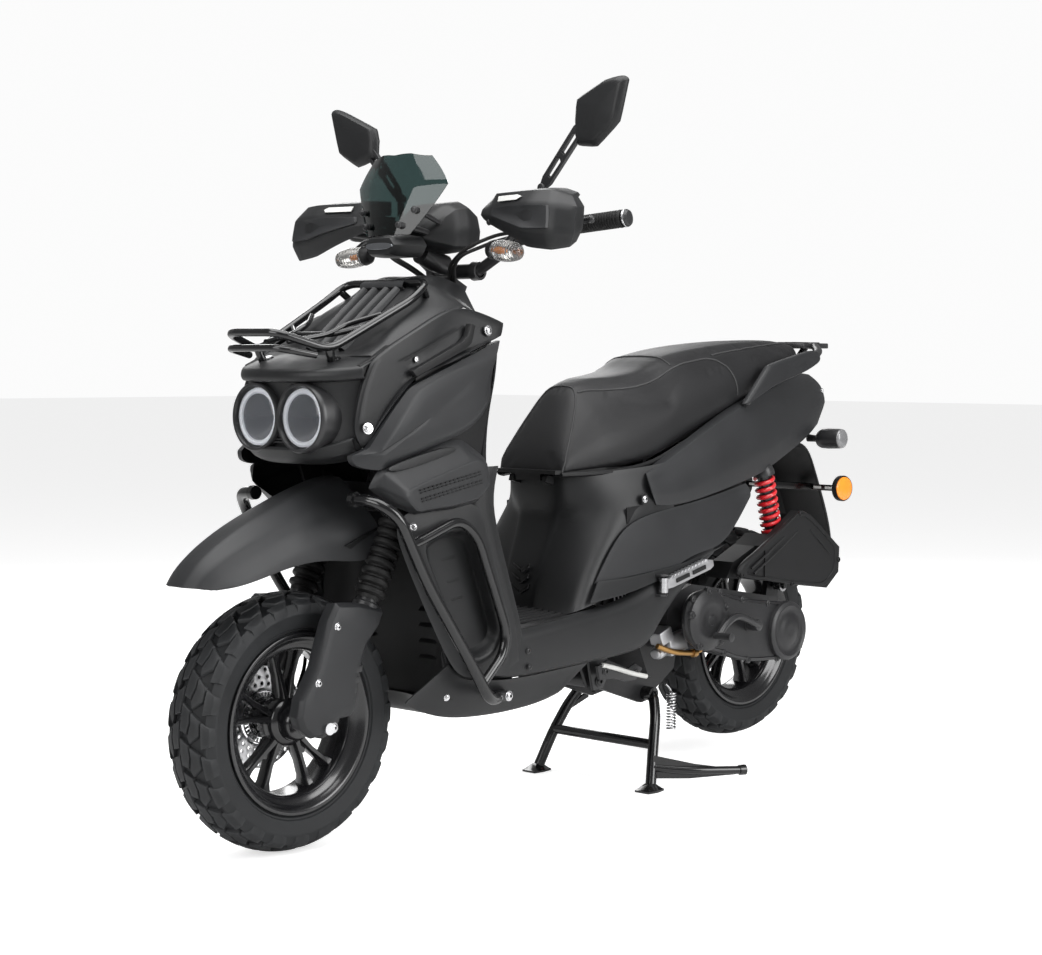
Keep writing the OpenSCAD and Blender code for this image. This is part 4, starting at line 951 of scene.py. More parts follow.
for sign, side in SIDES:
    def mirrored(rows):
        return [on_side(sign, row) for row in rows]

    Piece().quads(mirrored(belly_band), row_crease={0: 1, 2: 0.65}).build(
        "belly_panel_" + side, "chassis", PANEL, sub=2, thick=3 * sign)
    Piece().quads(mirrored(low_band), row_crease={1: 0.4}).build(
        "step_panel_" + side, "chassis", PLASTIC, sub=2, thick=3 * sign)
    Piece().quads(mirrored(tail), row_crease={1: 0.6, 3: 0.45, 4: 0.8}, col_crease={0: 0.7}).build(
        "tail_cover_" + side, "chassis", PANEL, sub=2, thick=3 * sign,
        replaces=("tail_covers",) if sign > 0 else ())
    face = [(sign * x, y, z) for x, y, z in ((174.5, 96, 628), (174.5, 118, 630), (175, 120, 606),
                                             (174.5, 98, 602))]
    pad([shifted(face, (-sign * 3, 0, 0)), shrunk(face, 1.0, (sign * 1.5, 0, 0)),
         shrunk(face, 0.8, (sign * 1.5, 0, 0)), shrunk(face, 0.75, (-sign * 1, 0, 0))],
        crease={1: 0.7, 2: 0.7, 3: 0.7}).build(
                                               "side_screw_seat_" + side, "chassis", PLASTIC, sub=2)
    screws = Piece().bolt((sign * 176, 108, 616), (sign, 0, 0), 6.5).bolt((sign * 90, 862, 832),
                                                                          (sign, 0.6, 0), 5)
    screws.build("body_screws_" + side, "chassis", STEEL)
    # dark sheet standing for the shadow in the seam between tail cover and belly
    Piece().quads(mirrored([[(168, 60, 566), (168, 168, 584), (164, 301, 598), (152, 470, 626)],
                            [(168, 60, 600), (168, 168, 606), (164, 301, 630), (150, 470, 650)]])).build(
        "seam_shadow_sheet_" + side, "chassis", DARK, sub=1, thick=2 * sign)

tail_end = [[(x, 858 - abs(x) * 0.16, 838), (x, 874 - abs(x) * 0.10, 812), (x, 862 - abs(x) * 0.12, 772),
             (x, 838 - abs(x) * 0.12, 744)] for x in (-84, -56, -28, 0, 28, 56, 84)]
Piece().quads(tail_end, row_crease={0: 0.4}).build("tail_end_panel", "chassis", PLASTIC, sub=2, thick=3)
lamp_outline = [(-58, 868, 834), (58, 868, 834), (50, 868, 786), (-50, 868, 786)]
pad([lamp_outline, [add(p, (0, 12, 0)) for p in shrunk(lamp_outline, 0.94)],
     [add(p, (0, 15, 0)) for p in shrunk(lamp_outline, 0.7)]], crease={1: 0.6}, cap_start=True).build(
    "tail_lamp_lens", "chassis", RED_LENS, sub=2, replaces=("rear_lights",))
for sign, side in SIDES:
    body = [(h, r) for h, r in ((-4, 4), (-3, 12), (2, 19), (10, 22.5), (26, 23.5), (52, 23), (60, 22.5))]
    stalk = Piece().lathe(body, (sign * 100, 838, 721), (sign, 0.05, 0.02), 40)
    stalk.sweep([(sign * 70, 836, 722), (sign * 86, 838, 721), (sign * 100, 838, 721)], [9, 8, 8], 16)
    stalk.build("rear_signal_" + side, "chassis", SATIN, "dark_plastic", angle=40)
    Piece().lathe([(0, 22.4), (3, 21.8), (6, 18), (8, 10), (8.5, 0.6)], (sign * 160, 841, 722.2),
                  (sign, 0.05, 0.02), 40).build("rear_signal_lens_" + side, "chassis", GREY_LENS, angle=50)
    strap = Piece()
    strap.prism(on_side(sign, [(58, 868, 612), (132, 868, 612), (134, 868, 606), (132, 868, 598),
                               (58, 868, 598)]), (0, 4, 0))
    strap.build("reflector_strap_" + side, "chassis", GLOSS, bevel=1)
    slots = Piece()
    for x0, x1 in ((66, 88), (98, 122)):
        slots.prism(on_side(sign, [(x0, 866, 608), (x1, 866, 608), (x1, 866, 602), (x0, 866, 602)]),
                    (0, 0.8, 0))
    slots.build("reflector_strap_slots_" + side, "chassis", WHITE, bevel=0.3)
    cup = Piece().lathe([(-1, 24), (-1, 29.5), (9, 30), (12, 28.5), (10, 27), (6, 26)],
                        (sign * 136, 875, 605), (sign, -0.12, 0), 48)
    cup.build("reflector_cup_" + side, "chassis", DARK, angle=45)
    Piece().lathe([(9, 27.4), (12.5, 26.5), (14.5, 20), (15.5, 10), (15.8, 0.5)], (sign * 136, 875, 605),
                  (sign, -0.12, 0), 48).build("reflector_" + side, "chassis", AMBER, angle=50)

flap = [[(0, 700, 706), (40, 700, 704), (62, 702, 700), (70, 706, 690)],
        [(0, 800, 726), (40, 800, 724), (62, 800, 720), (70, 800, 706)],
        [(0, 858, 706), (40, 856, 704), (62, 852, 700), (68, 846, 692)],
        [(0, 890, 650), (40, 888, 648), (62, 880, 646), (68, 868, 640)],
        [(0, 936, 552), (40, 934, 550), (62, 930, 548), (68, 916, 540)],
        [(0, 962, 480), (38, 960, 479), (60, 956, 478), (66, 944, 472)],
        [(0, 972, 410), (34, 971, 409), (52, 968, 408), (56, 960, 406)]]
Piece().quads(both_sides(flap), col_crease={1: 0.5, 5: 0.5}).build(
    "rear_mudguard_shell", "chassis", DARK, sub=2, thick=3, replaces=("rear_mudguard",))
Piece().box((0, 872, 606), (132, 8, 16)).box((0, 884, 606), (20, 26, 14)).build(
    "reflector_bridge", "chassis", GLOSS, bevel=1.5)

# rear rack: cast handles and a slotted plate
outline = [(-80, 800), (-60, 792), (60, 792), (80, 800), (86, 850), (84, 892), (74, 908), (50, 914),
           (-50, 914), (-74, 908), (-84, 892), (-86, 850)]
slots = [[(x - 5, 858), (x + 5, 858), (x + 5, 898), (x - 5, 898)] for x in (-40, -20, 0, 20, 40)]
rings = [[(x, y, 931) for x, y in ring] for ring in [outline] + slots]
rings += [circle((x, y, 931), 4.25) for x in (-65, 65) for y in (816, 896)]
pierced(rings, (0, 0, 12)).build("rear_rack_plate", "chassis", SATIN, bevel=2, angle=50,
                                 replaces=("rear_rack",))
ridges = Piece()
for x in (-50, -30, -10, 10, 30, 50):
    ridges.box((x, 850, 944.2), (6, 108, 3))
ridges.build("rear_rack_ridges", "chassis", SATIN, bevel=1.2)
handle_line = [(474, 806), (520, 851), (559, 889), (583, 897), (660, 912), (735, 928), (766, 922), (774, 902),
               (715, 880), (650, 864), (594, 850), (540, 830), (490, 808)]
for sign, side in SIDES:
    line = [(sign * (142 - max(0, y - 700) * 0.1), y, z) for y, z in handle_line]
    pad([shrunk(line, 0.94), shifted(line, (sign * 3, 0, 0)), shifted(line, (sign * 12, 0, 0)),
         shrunk(line, 0.96, (sign * 17, 0, 0)), shrunk(line, 0.7, (sign * 18.5, 0, 0))],
        crease={1: 0.3, 2: 0.4}, cap_start=True, col_crease={0: 0.7, 2: 0.4, 6: 0.3, 7: 0.3}).build(
        "grab_handle_" + side, "chassis", PANEL, "steel_black", sub=2)
    arm = Piece().sweep(rounded(on_side(sign, [(142, 744, 908), (126, 796, 922), (84, 838, 936),
                                               (66, 846, 937)]), 24), 10, 16, flat=0.8, up=(0, 0, 1))
    arm.pipe([(sign * 50, 722, 796), (sign * 50, 780, 872), (sign * 50, 850, 934)], 8, 30)
    arm.pipe([(sign * 150, 490, 812), (sign * 128, 500, 800), (sign * 108, 520, 790)], 9, 14)
    arm.build("rear_rack_arm_" + side, "chassis", SATIN)

# ---------------------------------------------------------------- handlebar

GRIP_IN, GRIP_OUT = Vector((224, -231, 1150)), Vector((374, -195, 1165))
bar_dir = (GRIP_OUT - GRIP_IN).normalized()
bar_back = Vector((0, 0, 1)).cross(bar_dir).normalized()
bar_down = bar_back.cross(bar_dir)


def on_bar(sign, down, back, out):
    """Point in the frame of a grip: down, backwards and outwards along the bar."""
    p = GRIP_IN + bar_down * down + bar_back * back + bar_dir * out
    return (sign * p.x, p.y, p.z)


for sign, side, body, node in ((1, "left", "steering", "left_grip"),
                               (-1, "right", "throttle_grip", "throttle_grip")):
    out = (sign * bar_dir.x, bar_dir.y, bar_dir.z)
    profile = [(8, 11.2), (8, 20), (11, 21), (13, 20), (14, 16)]
    for k in range(22):
        h = 15 + k * 5.6
        profile += [(h, 16.6), (h + 1, 17.0), (h + 3.6, 17.0), (h + 4.6, 15.8)]
    profile += [(140, 16.6), (144, 17.4), (148, 16.5), (148, 11.2)]
    Piece().lathe(profile, on_bar(sign, 0, 0, 0), out, 36, caps=False).build(
        "grip_" + side, body, RUBBER, angle=40, replaces=(node,))
    Piece().lathe([(149, 9), (149, 15), (151, 16.5), (158, 16.5), (162, 14), (163, 8), (162, 0.5)],
                  on_bar(sign, 0, 0, 0), out, 32).build("bar_end_" + side, "steering", SATIN)
    Piece().lathe([(151.4, 16.3), (152.4, 17.2), (154.6, 17.2), (155.6, 16.3)],
                  on_bar(sign, 0, 0, 0), out, 32, caps=False).build("bar_end_ring_" + side, "steering", STEEL)
    # brake lever: a blade that thins and curls towards a ball end
    path = [on_bar(sign, 0, b, o) for b, o in ((-43, -14), (-46, -2), (-53, 14), (-58, 40), (-57, 72),
                                               (-54, 98), (-55, 110))]
    smooth = rounded(path, 30, steps=4)
    lever = Piece().sweep(smooth, [6.2 - 2.2 * min(1, i / (len(smooth) * 0.5)) for i in range(len(smooth))],
                          14, flat=1.5, up=tuple(bar_down))
    lever.lathe([(-7, 0.5), (-6, 4), (-3, 6.8), (0, 7.8), (3, 6.8), (6, 4), (7, 0.5)], path[-1], out, 20)
    lever.lathe([(-4.2, 8), (-3.6, 9), (3.6, 9), (4.2, 8)], on_bar(sign, 0, -42, -14), tuple(bar_down), 24)
    lever.build("brake_lever_" + side, ("front" if sign < 0 else "rear") + "_brake_lever", SATIN, "alloy",
                replaces=(("front" if sign < 0 else "rear") + "_brake_lever",))

guard = [
    [(134, -330, 1166), (169, -350, 1154), (240, -368, 1128), (288, -376, 1106), (345, -372, 1099),
     (372, -352, 1104), (362, -322, 1116)],
    [(130, -334, 1174), (172, -356, 1168), (244, -384, 1152), (292, -394, 1138), (352, -386, 1134),
     (386, -356, 1128), (374, -318, 1140)],
    [(134, -334, 1184), (176, -354, 1186), (248, -378, 1186), (296, -388, 1184), (352, -378, 1182),
     (384, -346, 1178), (372, -312, 1180)],
    [(164, -330, 1207), (182, -346, 1211), (256, -358, 1211), (300, -362, 1211), (338, -356, 1209),
     (362, -334, 1200), (354, -308, 1198)],
    [(172, -300, 1213), (184, -304, 1217), (252, -306, 1219), (290, -306, 1219), (320, -304, 1217),
     (346, -300, 1208), (344, -292, 1204)]]
Piece().quads(guard, row_crease={1: 0.9, 2: 0.9, 3: 1}, col_crease={1: 0.85, 3: 0.4, 4: 0.95, 5: 0.8}).build(
    "hand_guard_shells", "steering", PLASTIC, mirror=True, sub=2, thick=3,
    replaces=("hand_guards",))
guard_panel = [(188, -363, 1183), (250, -383, 1184), (298, -392, 1182), (346, -384, 1180), (350, -390, 1137),
               (294, -399, 1139), (246, -389, 1153), (186, -366, 1169)]
pad([shifted(guard_panel, (0, 4, 0)), shrunk(guard_panel, 0.98, (0, -1.5, 0)),
     shrunk(guard_panel, 0.92, (0, -2, 0))],
    crease={1: 0.9, 2: 0.9}, col_crease={k: 0.85 for k in range(8)}).build(
    "hand_guard_panels", "steering", PANEL, mirror=True, sub=2)
guard_slot = Piece().prism([(200, -356, 1204), (258, -368, 1204), (270, -370, 1200), (262, -375, 1194),
                            (202, -361, 1194)], (0, -3, 0))
guard_slot.build("hand_guard_slots", "steering", WHITE, mirror=True, bevel=0.4)
stay = Piece().pipe([(172, -244, 1136), (178, -300, 1150), (200, -336, 1160)], 6, 20)
stay.bolt((166, -350, 1158), (-0.3, -1, -0.2), 5)
stay.build("hand_guard_stays", "steering", SATIN, mirror=True)

# smoked screen: flat middle, swept corners
screen_rows = []
for z, half, y0, bow in ((1134, 58, -470, 18), (1160, 78, -467, 26), (1198, 104, -459, 34),
                         (1230, 122, -451, 38), (1258, 104, -443, 31), (1284, 78, -435, 23)):
    screen_rows.append([(half * t, y0 + bow * abs(t) ** 2.2, z + (5 if z > 1280 and abs(t) < 0.7 else 0)
                         - (3 if z > 1280 and abs(t) < 0.2 else 0)) for t in
                        (-1, -0.8, -0.5, -0.2, 0, 0.2, 0.5, 0.8, 1)])
Piece().quads(screen_rows, col_crease={2: 0.9, 6: 0.9}, row_crease={3: 0.9}).build(
    "screen", "steering", SMOKE, sub=2, thick=3, replaces=("windscreen",))
bolts = Piece()
for x, z, y in ((-46, 1152, -468), (46, 1152, -468), (-72, 1180, -452), (72, 1180, -452)):
    bolts.bolt((x, y - 2, z), (x * 0.006, -1, 0.1), 5.5)
bolts.build("screen_bolts", "steering", SATIN)
frame_bits = Piece()
for s in (-1, 1):
    frame_bits.pipe([(s * 46, -466, 1152), (s * 46, -420, 1146), (s * 40, -380, 1140)], 6, 14)
    frame_bits.pipe([(s * 72, -450, 1180), (s * 66, -410, 1170), (s * 56, -370, 1160)], 5, 14)
frame_bits.build("screen_stays", "steering", SATIN)

pod = []
for y, half, low, high, crown in ((-398, 40, 1118, 1150, 6), (-372, 62, 1108, 1178, 8),
                                  (-340, 74, 1102, 1200, 8), (-306, 78, 1104, 1206, 8),
                                  (-276, 72, 1110, 1190, 6), (-268, 66, 1114, 1180, 5)):
    mid = (low + high) / 2
    pod.append([(-half * 0.6, y, low), (half * 0.6, y, low), (half * 0.96, y, low + 14), (half, y, mid),
                (half * 0.92, y, high - 14), (half * 0.55, y, high), (-half * 0.55, y, high),
                (-half * 0.92, y, high - 14), (-half, y, mid), (-half * 0.96, y, low + 14)])
Piece().quads(pod, closed=True, cap_start=True, cap_end=True,
              row_crease={0: 0.8, 2: 0.95, 3: 0.8, 4: 0.9, -1: 0.9},
              col_crease={k: 0.92 for k in range(2, 10)}).build("meter_pod_shell", "steering", PLASTIC, sub=2,
                                                   replaces=("meter_pod",))
face = [(-54, -266.5, 1122), (54, -266.5, 1122), (60, -266.5, 1136), (52, -266.5, 1172), (-52, -266.5, 1172),
        (-60, -266.5, 1136)]
pad([face, shrunk(face, 0.98, (0, 1.6, 0)), shrunk(face, 0.93, (0, 1.8, 0))], crease={1: 0.8, 2: 0.8},
    cap_start=True).build("meter_glass", "steering", GLOSS, "dark_plastic", sub=2)
dials = Piece()
for x, r in ((-32, 14), (32, 14)):
    dials.lathe([(0, r), (1.2, r), (1.2, r - 1.8), (0.2, r - 1.8)], (x, -264.8, 1146), (0, 1, 0), 40,
                caps=False)
dials.box((0, -264.4, 1147), (26, 1.2, 30))
dials.build("meter_dials", "steering", BOWL, "dark_plastic", bevel=0.3)

nose = []
for y, half, low, high in ((-400, 52, 1094, 1134), (-436, 50, 1092, 1136), (-462, 46, 1094, 1132),
                           (-476, 40, 1098, 1128)):
    nose.append([(-half * 0.72, y, low), (half * 0.72, y, low), (half, y, (low + high) / 2 + 2),
                 (half * 0.74, y, high), (-half * 0.74, y, high), (-half, y, (low + high) / 2 + 2)])
Piece().quads(nose, closed=True, cap_start=True, cap_end=True, row_crease={0: 1, 2: 0.5, 3: 0.8},
              col_crease={0: 0.5, 1: 0.5, 2: 0.7, 3: 0.5, 4: 0.5, 5: 0.7}).build(
    "nose_lamp_body", "steering", PLASTIC, sub=2)
slot_strip = [(-34, -477.5, 1106), (34, -477.5, 1106), (38, -476.5, 1113), (34, -477, 1120),
              (-34, -477, 1120), (-38, -476.5, 1113)]
pad([shifted(slot_strip, (0, 3, 0)), shrunk(slot_strip, 0.96, (0, -1, 0)),
     shrunk(slot_strip, 0.7, (0, -1.6, 0))],
    crease={1: 0.6}).build("nose_lamp_lens", "steering", BOWL, sub=2)
neck = Piece().pipe([(0, -366, 1104), (0, -330, 1090), (0, -300, 1084)], 20, 20, sides=20)
neck.lathe([(-66, 13), (-66, 18), (-50, 19), (-48, 15), (-30, 15), (30, 15), (48, 15), (50, 19), (66, 18),
            (66, 13)],
           (0, -268, 1072), (1, 0, 0), 32, caps=False)
neck.build("bar_clamp", "steering", SATIN, angle=40)

# front turn signals: clear ribbed lens, amber bulb, dark collar and stalk
for sign, side in SIDES:
    at, axis = (sign * 206, -348, 1103), (sign * 0.98, -0.12, -0.10)
    ribs = [(-34, 3), (-33, 12), (-30, 17)]
    for k in range(11):
        h = -28 + k * 6.2
        r = 20.5 * math.sqrt(max(0.2, 1 - (h / 52.0) ** 2))
        ribs += [(h, r - 0.8), (h + 1.5, r), (h + 3.8, r), (h + 5.2, r - 0.8)]
    ribs += [(42, 9), (43.5, 3), (44, 0.4)]
    Piece().lathe(ribs, at, axis, 32, caps=False).build("front_signal_lens_" + side, "steering", SIGNAL_GLASS,
                                                        angle=60, replaces=("front_signals",))
    Piece().lathe([(-42, 8), (-42, 13), (-38, 17), (-30, 19), (-27, 19.6), (-26, 17)], at, axis, 32).build(
        "front_signal_collar_" + side, "steering", DARK, angle=40)
    Piece().lathe([(-24, 2), (-16, 3), (-8, 3.8), (0, 4), (5, 3.2), (8, 1.5), (8.5, 0.3)], at, axis,
                  24).build(
                            "front_signal_bulb_" + side, "steering", AMBER, angle=60)
    Piece().lathe([(-25, 6), (-22, 16.5), (-20, 17), (-24, 17.4)], at, axis, 32).build(
        "front_signal_bowl_" + side, "steering", BOWL, angle=40)
    Piece().pipe([(sign * 205, -344, 1118), (sign * 203, -320, 1136), (sign * 194, -250, 1138)], 6, 20).build(
        "front_signal_stalk_" + side, "steering", SATIN, "dark_plastic")

# mirrors
for sign, side in SIDES:
    head = [(276, 1346), (283, 1302), (328, 1297), (384, 1340), (405, 1418), (395, 1427), (352, 1421),
            (280, 1390)]
    if sign < 0:
        head = [(264, 1350), (266, 1312), (325, 1297), (380, 1328), (406, 1418), (394, 1427), (352, 1410),
                (270, 1374)]
    loop = [(sign * x, -228, z) for x, z in head]
    pad([shrunk(loop, 0.98, (0, 5, 0)), loop, shrunk(loop, 0.97, (0, -6, 0)), shrunk(loop, 0.84, (0, -13, 0)),
         shrunk(loop, 0.45, (0, -16, 0)), shrunk(loop, 0.1, (0, -17, 0))], crease={0: 0.9, 1: 0.8, 3: 0.6},
        cap_start=True, col_crease={k: 0.97 for k in (0, 1, 2, 3, 4, 6, 7)}).build(
        "mirror_shell_" + side, side + "_mirror", PLASTIC, sub=2, replaces=(side + "_mirror",))
    glass = shrunk(loop, 0.93, (0, 5.2, 0))
    pad([glass, shrunk(glass, 0.99, (0, 0.8, 0))], cap_start=True).build(
        "mirror_glass_" + side, side + "_mirror", MIRROR, bevel=0.4)
    a, b = Vector((sign * 196, -232, 1228)), Vector((sign * 297, -232, 1342))
    along = (b - a).normalized()
    across = along.cross(Vector((0, 1, 0))).normalized()
    side_line = [a + across * 6, a + (b - a) * 0.12 + across * 12, a + (b - a) * 0.9 + across * 13,
                 b + across * 9]
    blade = side_line + [2 * (a + (b - a) * t) - p
                         for p, t in zip(reversed(side_line), (1.0, 0.9, 0.12, 0.0))]
    slots = [[a + (b - a) * t + across * w for t, w in ((t0, -5), (t0, 5), (t1 - 0.02, 6), (t1, 0),
                                                        (t1 - 0.02, -6))]
             for t0, t1 in ((0.18, 0.46), (0.54, 0.84))]
    arm = pierced([[p + Vector((0, -4.5, 0)) for p in ring] for ring in [blade] + slots], (0, 9, 0))
    arm.lathe([(-9, 2), (-8, 7), (-3, 11), (3, 11), (8, 7), (9, 2)], tuple(b), (0, 1, 0), 24)
    arm.lathe([(-8, 2), (-7, 8), (0, 11), (7, 8), (8, 2)], tuple(a), (0, 1, 0), 24)
    arm.sweep([(sign * 196, -232, 1170), (sign * 196, -232, 1224)], 5.5, 16)
    arm.lathe([(0, 10), (8, 10), (9, 9)], (sign * 196, -232, 1172), (0, 0, 1), 6)
    arm.build("mirror_arm_" + side, side + "_mirror", SATIN, bevel=1.0)

cables = Piece()
for s, x, spread in ((1, 190, 0), (1, 178, 14), (-1, 190, 4), (-1, 176, 16)):
    cables.pipe(on_side(s, [(x + 20, -272, 1140), (x - 20, -316, 1140 - spread),
                            (x - 84, -352, 1112 - spread), (46 + spread, -336, 1078),
                            (26 + spread * 0.6, -306, 1050), (20 + spread * 0.4, -300, 1016)]), 3.6, 46,
                sides=10)
cables.build("control_cables", "steering", RUBBER)
mount = Piece()
for s in (-1, 1):
    mount.pipe([on_bar(s, -12, -12, -36), on_bar(s, -4, -38, -34), on_bar(s, 0, -42, -22)], 7, 10, sides=14)
    mount.lathe([(-12, 15), (-12, 17), (12, 17), (12, 15)], on_bar(s, 0, 0, -60),
                (s * bar_dir.x, bar_dir.y, bar_dir.z), 28, caps=False)
mount.lathe([(0, 15), (0, 17), (26, 17), (27, 15), (27, 2)], on_bar(-1, -44, -34, -20), (0, 0, 1), 24)
mount.build("lever_mounts", "steering", SATIN, angle=40)

# ---------------------------------------------------------------- seat


def seat_ring(y, half, low, top, crown):
    """Cross-section of the cushion at y, from the bottom middle round the left side."""
    side = [(0, low), (half * 0.55, low), (half * 0.93, low + 2), (half, low + (top - low) * 0.16),
            (half * 0.985, low + (top - low) * 0.42), ((half + crown) / 2 + 2, low + (top - low) * 0.72),
            (crown, top - (top - low) * 0.07), (crown * 0.72, top), (0, top + 3)]
    return [(x, y, z) for x, z in side] + [(-x, y, z) for x, z in reversed(side[1:-1])]


stations = [(-52, 88, 668, 674, 80), (-44, 92, 668, 700, 82), (-28, 96, 668, 730, 78),
            (-8, 102, 668, 762, 72), (14, 110, 669, 798, 62), (34, 117, 670, 830, 52),
            (48, 121, 671, 846, 46), (66, 125, 672, 853, 50), (100, 131, 676, 857, 70),
            (150, 135, 682, 861, 92), (200, 135, 690, 868, 104), (240, 135, 706, 878, 106),
            (268, 135, 718, 893, 107), (300, 135, 732, 905, 108), (340, 135, 745, 913, 108),
            (400, 134, 768, 922, 108), (470, 131, 795, 930, 107), (540, 127, 818, 936, 104),
            (610, 122, 842, 940, 100), (680, 114, 870, 942, 94), (740, 102, 892, 942, 84),
            (776, 84, 906, 938, 68), (788, 66, 914, 930, 52)]
cushion = Piece().quads([seat_ring(*s) for s in stations], closed=True, cap_start=True, cap_end=True).build(
    "seat_pad", "seat", VINYL, sub=1, angle=80, replaces=("seat_cushion",))
m = cushion.modifiers.new("even", "REMESH")
m.mode, m.voxel_size, m.use_smooth_shade = "VOXEL", 0.006, True
evened = baked_mesh(cushion)
cushion.modifiers.clear()
cushion.data = evened
start = [v.co.copy() for v in evened.vertices]
pinned = cushion.vertex_groups.new(name="base")
for v in evened.vertices:
    # the base plate holds the bottom
    hold = 1.0 if v.normal.z < -0.5 else 0.0
    pinned.add([v.index], hold, "REPLACE")
cloth = cushion.modifiers.new("cloth", "CLOTH")
cloth.settings.quality = 4
cloth.settings.mass = 0.3
cloth.settings.tension_stiffness = cloth.settings.compression_stiffness = 12
cloth.settings.bending_stiffness = 3
cloth.settings.use_pressure = True
cloth.settings.uniform_pressure_force = 4
cloth.settings.vertex_group_mass = "base"
cloth.settings.effector_weights.gravity = 0
cloth.collision_settings.use_self_collision = False
cloth.point_cache.frame_start, cloth.point_cache.frame_end = 1, 20
for k in range(1, 21):
    bpy.context.scene.frame_set(k)
swollen = baked_mesh(cushion)
cushion.modifiers.clear()
cushion.data = swollen
for v, p in zip(swollen.vertices, start):
    step = v.co - p
    if step.length > 0.005:
        v.co = p + step * (0.005 / step.length)
bpy.context.scene.frame_set(1)
m = cushion.modifiers.new("sub", "SUBSURF")
m.levels = m.render_levels = 1
smooth_pad = baked_mesh(cushion)
cushion.modifiers.clear()
cushion.vertex_groups.clear()
cushion.data = smooth_pad
cushion.data.polygons.foreach_set("use_smooth", [True] * len(cushion.data.polygons))
if not cushion.data.materials:
    cushion.data.materials.append(VINYL)

bm = bmesh.new()
bm.from_mesh(cushion.data)
skin = BVHTree.FromBMesh(bm)
bm.free()


def on_skin(points, lift=0.0):
    """The points moved onto the cushion's surface, then lifted off it."""
    out = []
    for p in points:
        spot, normal, _, _ = skin.find_nearest(Vector(p) / 1000)
        out.append((spot + normal * lift / 1000) * 1000)
    return out


welts = Piece()
for s in (-1, 1):
    front_seam = rounded([(0, 44, 850), (s * 26, 44, 849), (s * 42, 38, 843), (s * 54, 30, 822),
                          (s * 72, -2, 769), (s * 86, -36, 708), (s * 92, -50, 670)], 14)
    side_seam = [(s * min(108, 52 + (y - 40) * 0.45), y, z) for y, z in
                 ((40, 842), (60, 848), (110, 851), (160, 857), (210, 866), (250, 880), (285, 896),
                  (330, 907), (400, 915), (430, 904), (456, 884), (474, 850), (482, 815))]
    welts.sweep(on_skin(front_seam, 0.6), 1.9, 8)
    welts.sweep(on_skin(rounded(side_seam, 30), 0.6), 1.9, 8)
    rear_seam = [(s * x, y, z) for x, y, z in ((98, 430, 918), (96, 500, 928), (92, 570, 934), (86, 640, 938),
                                               (78, 700, 940), (66, 750, 938), (44, 776, 934), (0, 784, 934))]
    welts.sweep(on_skin(rounded(rear_seam, 30), 0.5), 1.8, 8)
cross = [(104 * t, 286 + 10 * (1 - t * t), 906) for t in (k / 8 - 1 for k in range(17))]
welts.sweep(on_skin(cross, 0.5), 1.8, 8)
welts.build("seat_piping", "seat", THREAD)
trim_line = [(90, -50, 667), (112, 0, 668), (130, 60, 671), (137, 120, 677), (138, 160, 684), (138, 206, 694),
             (138, 262, 718),              (138, 339, 744), (136, 431, 780), (132, 520, 812), (126, 610, 842),
             (112, 700, 878), (88, 770, 902)]
hem = Piece()
for s in (-1, 1):
    rows = [[(s * (x + dx), y, z + dz) for x, y, z in trim_line]
            for dx, dz in ((-16, -6), (0, -5), (1.5, 1), (-4, 5))]
    hem.quads(rows)
hem.build("seat_base_edge", "seat", DARK, "seat_pan", sub=1, thick=2)

# ---------------------------------------------------------------- rear shocks

shock_dir = Vector((0, 646 - 566, 395 - 700)).normalized()
for sign, side in SIDES:
    top_eye = Vector((sign * 130, 566, 700))

    def down(h):
        return tuple(top_eye + shock_dir * h)

    spring = Piece().coil(down(56), down(282), 20, 4.7, 14, sides=10)
    coil = spring.build("shock_coil_" + side, "shock_bodies", RED,
                        replaces=("shock_springs",) if sign > 0 else ())
    tuple(v / 1000 for v in down(56))
    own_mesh(coil)
    parts = Piece().lathe([(30, 6), (30, 15), (34, 21), (46, 25), (54, 25.5), (55, 24), (56, 16)],
                          tuple(top_eye), tuple(shock_dir), 32)
    parts.lathe([(16, 8), (20, 15), (32, 15), (34, 12)], tuple(top_eye), tuple(shock_dir), 24)
    parts.build("shock_cap_" + side, "shock_bodies", SATIN, "shock_black", angle=40)
    seat_ring_low = Piece().lathe([(282, 8), (282, 24), (286, 25.5), (292, 24), (296, 12)], tuple(top_eye),
                                  tuple(shock_dir), 32)
    seat_ring_low.build("shock_seat_" + side, "shock_rods", SATIN, "shock_black", angle=40)

# ---------------------------------------------------------------- engine, covers and air box

airbox_line = at_x(158, (412, 428), (428, 452), (440, 463), (517, 495), (600, 540), (640, 563), (660, 568),
                   (691, 556), (750, 516), (800, 482), (808, 470), (806, 422), (798, 410), (756, 384),
                   (700, 391), (600, 404), (520, 419))
pad([shrunk(airbox_line, 0.99), shifted(airbox_line, (20, 0, 0)), shrunk(airbox_line, 0.97, (26, 0, 0)),
     shrunk(airbox_line, 0.88, (26, 0, 0)), shrunk(airbox_line, 0.86, (21, 0, 0)),
     shrunk(airbox_line, 0.4, (22, 0, 0))], crease={1: 0.7, 2: 0.7, 3: 0.7, 4: 0.7}, cap_start=True).build(
    "airbox_cover", "swing_unit", DARK, sub=2)
ribs = Piece()
for y0, z0, y1, z1 in ((470, 448, 590, 510), (480, 436, 640, 520), (690, 520, 770, 460)):
    ribs.sweep([(181, y0, z0), (183, (y0 + y1) / 2, (z0 + z1) / 2), (181, y1, z1)], 2.4, 8)
for y, z in ((432, 436), (648, 560), (800, 446), (620, 404)):
    ribs.bolt((184, y, z), (1, 0, 0), 5)
ribs.build("airbox_ribs", "swing_unit", DARK)

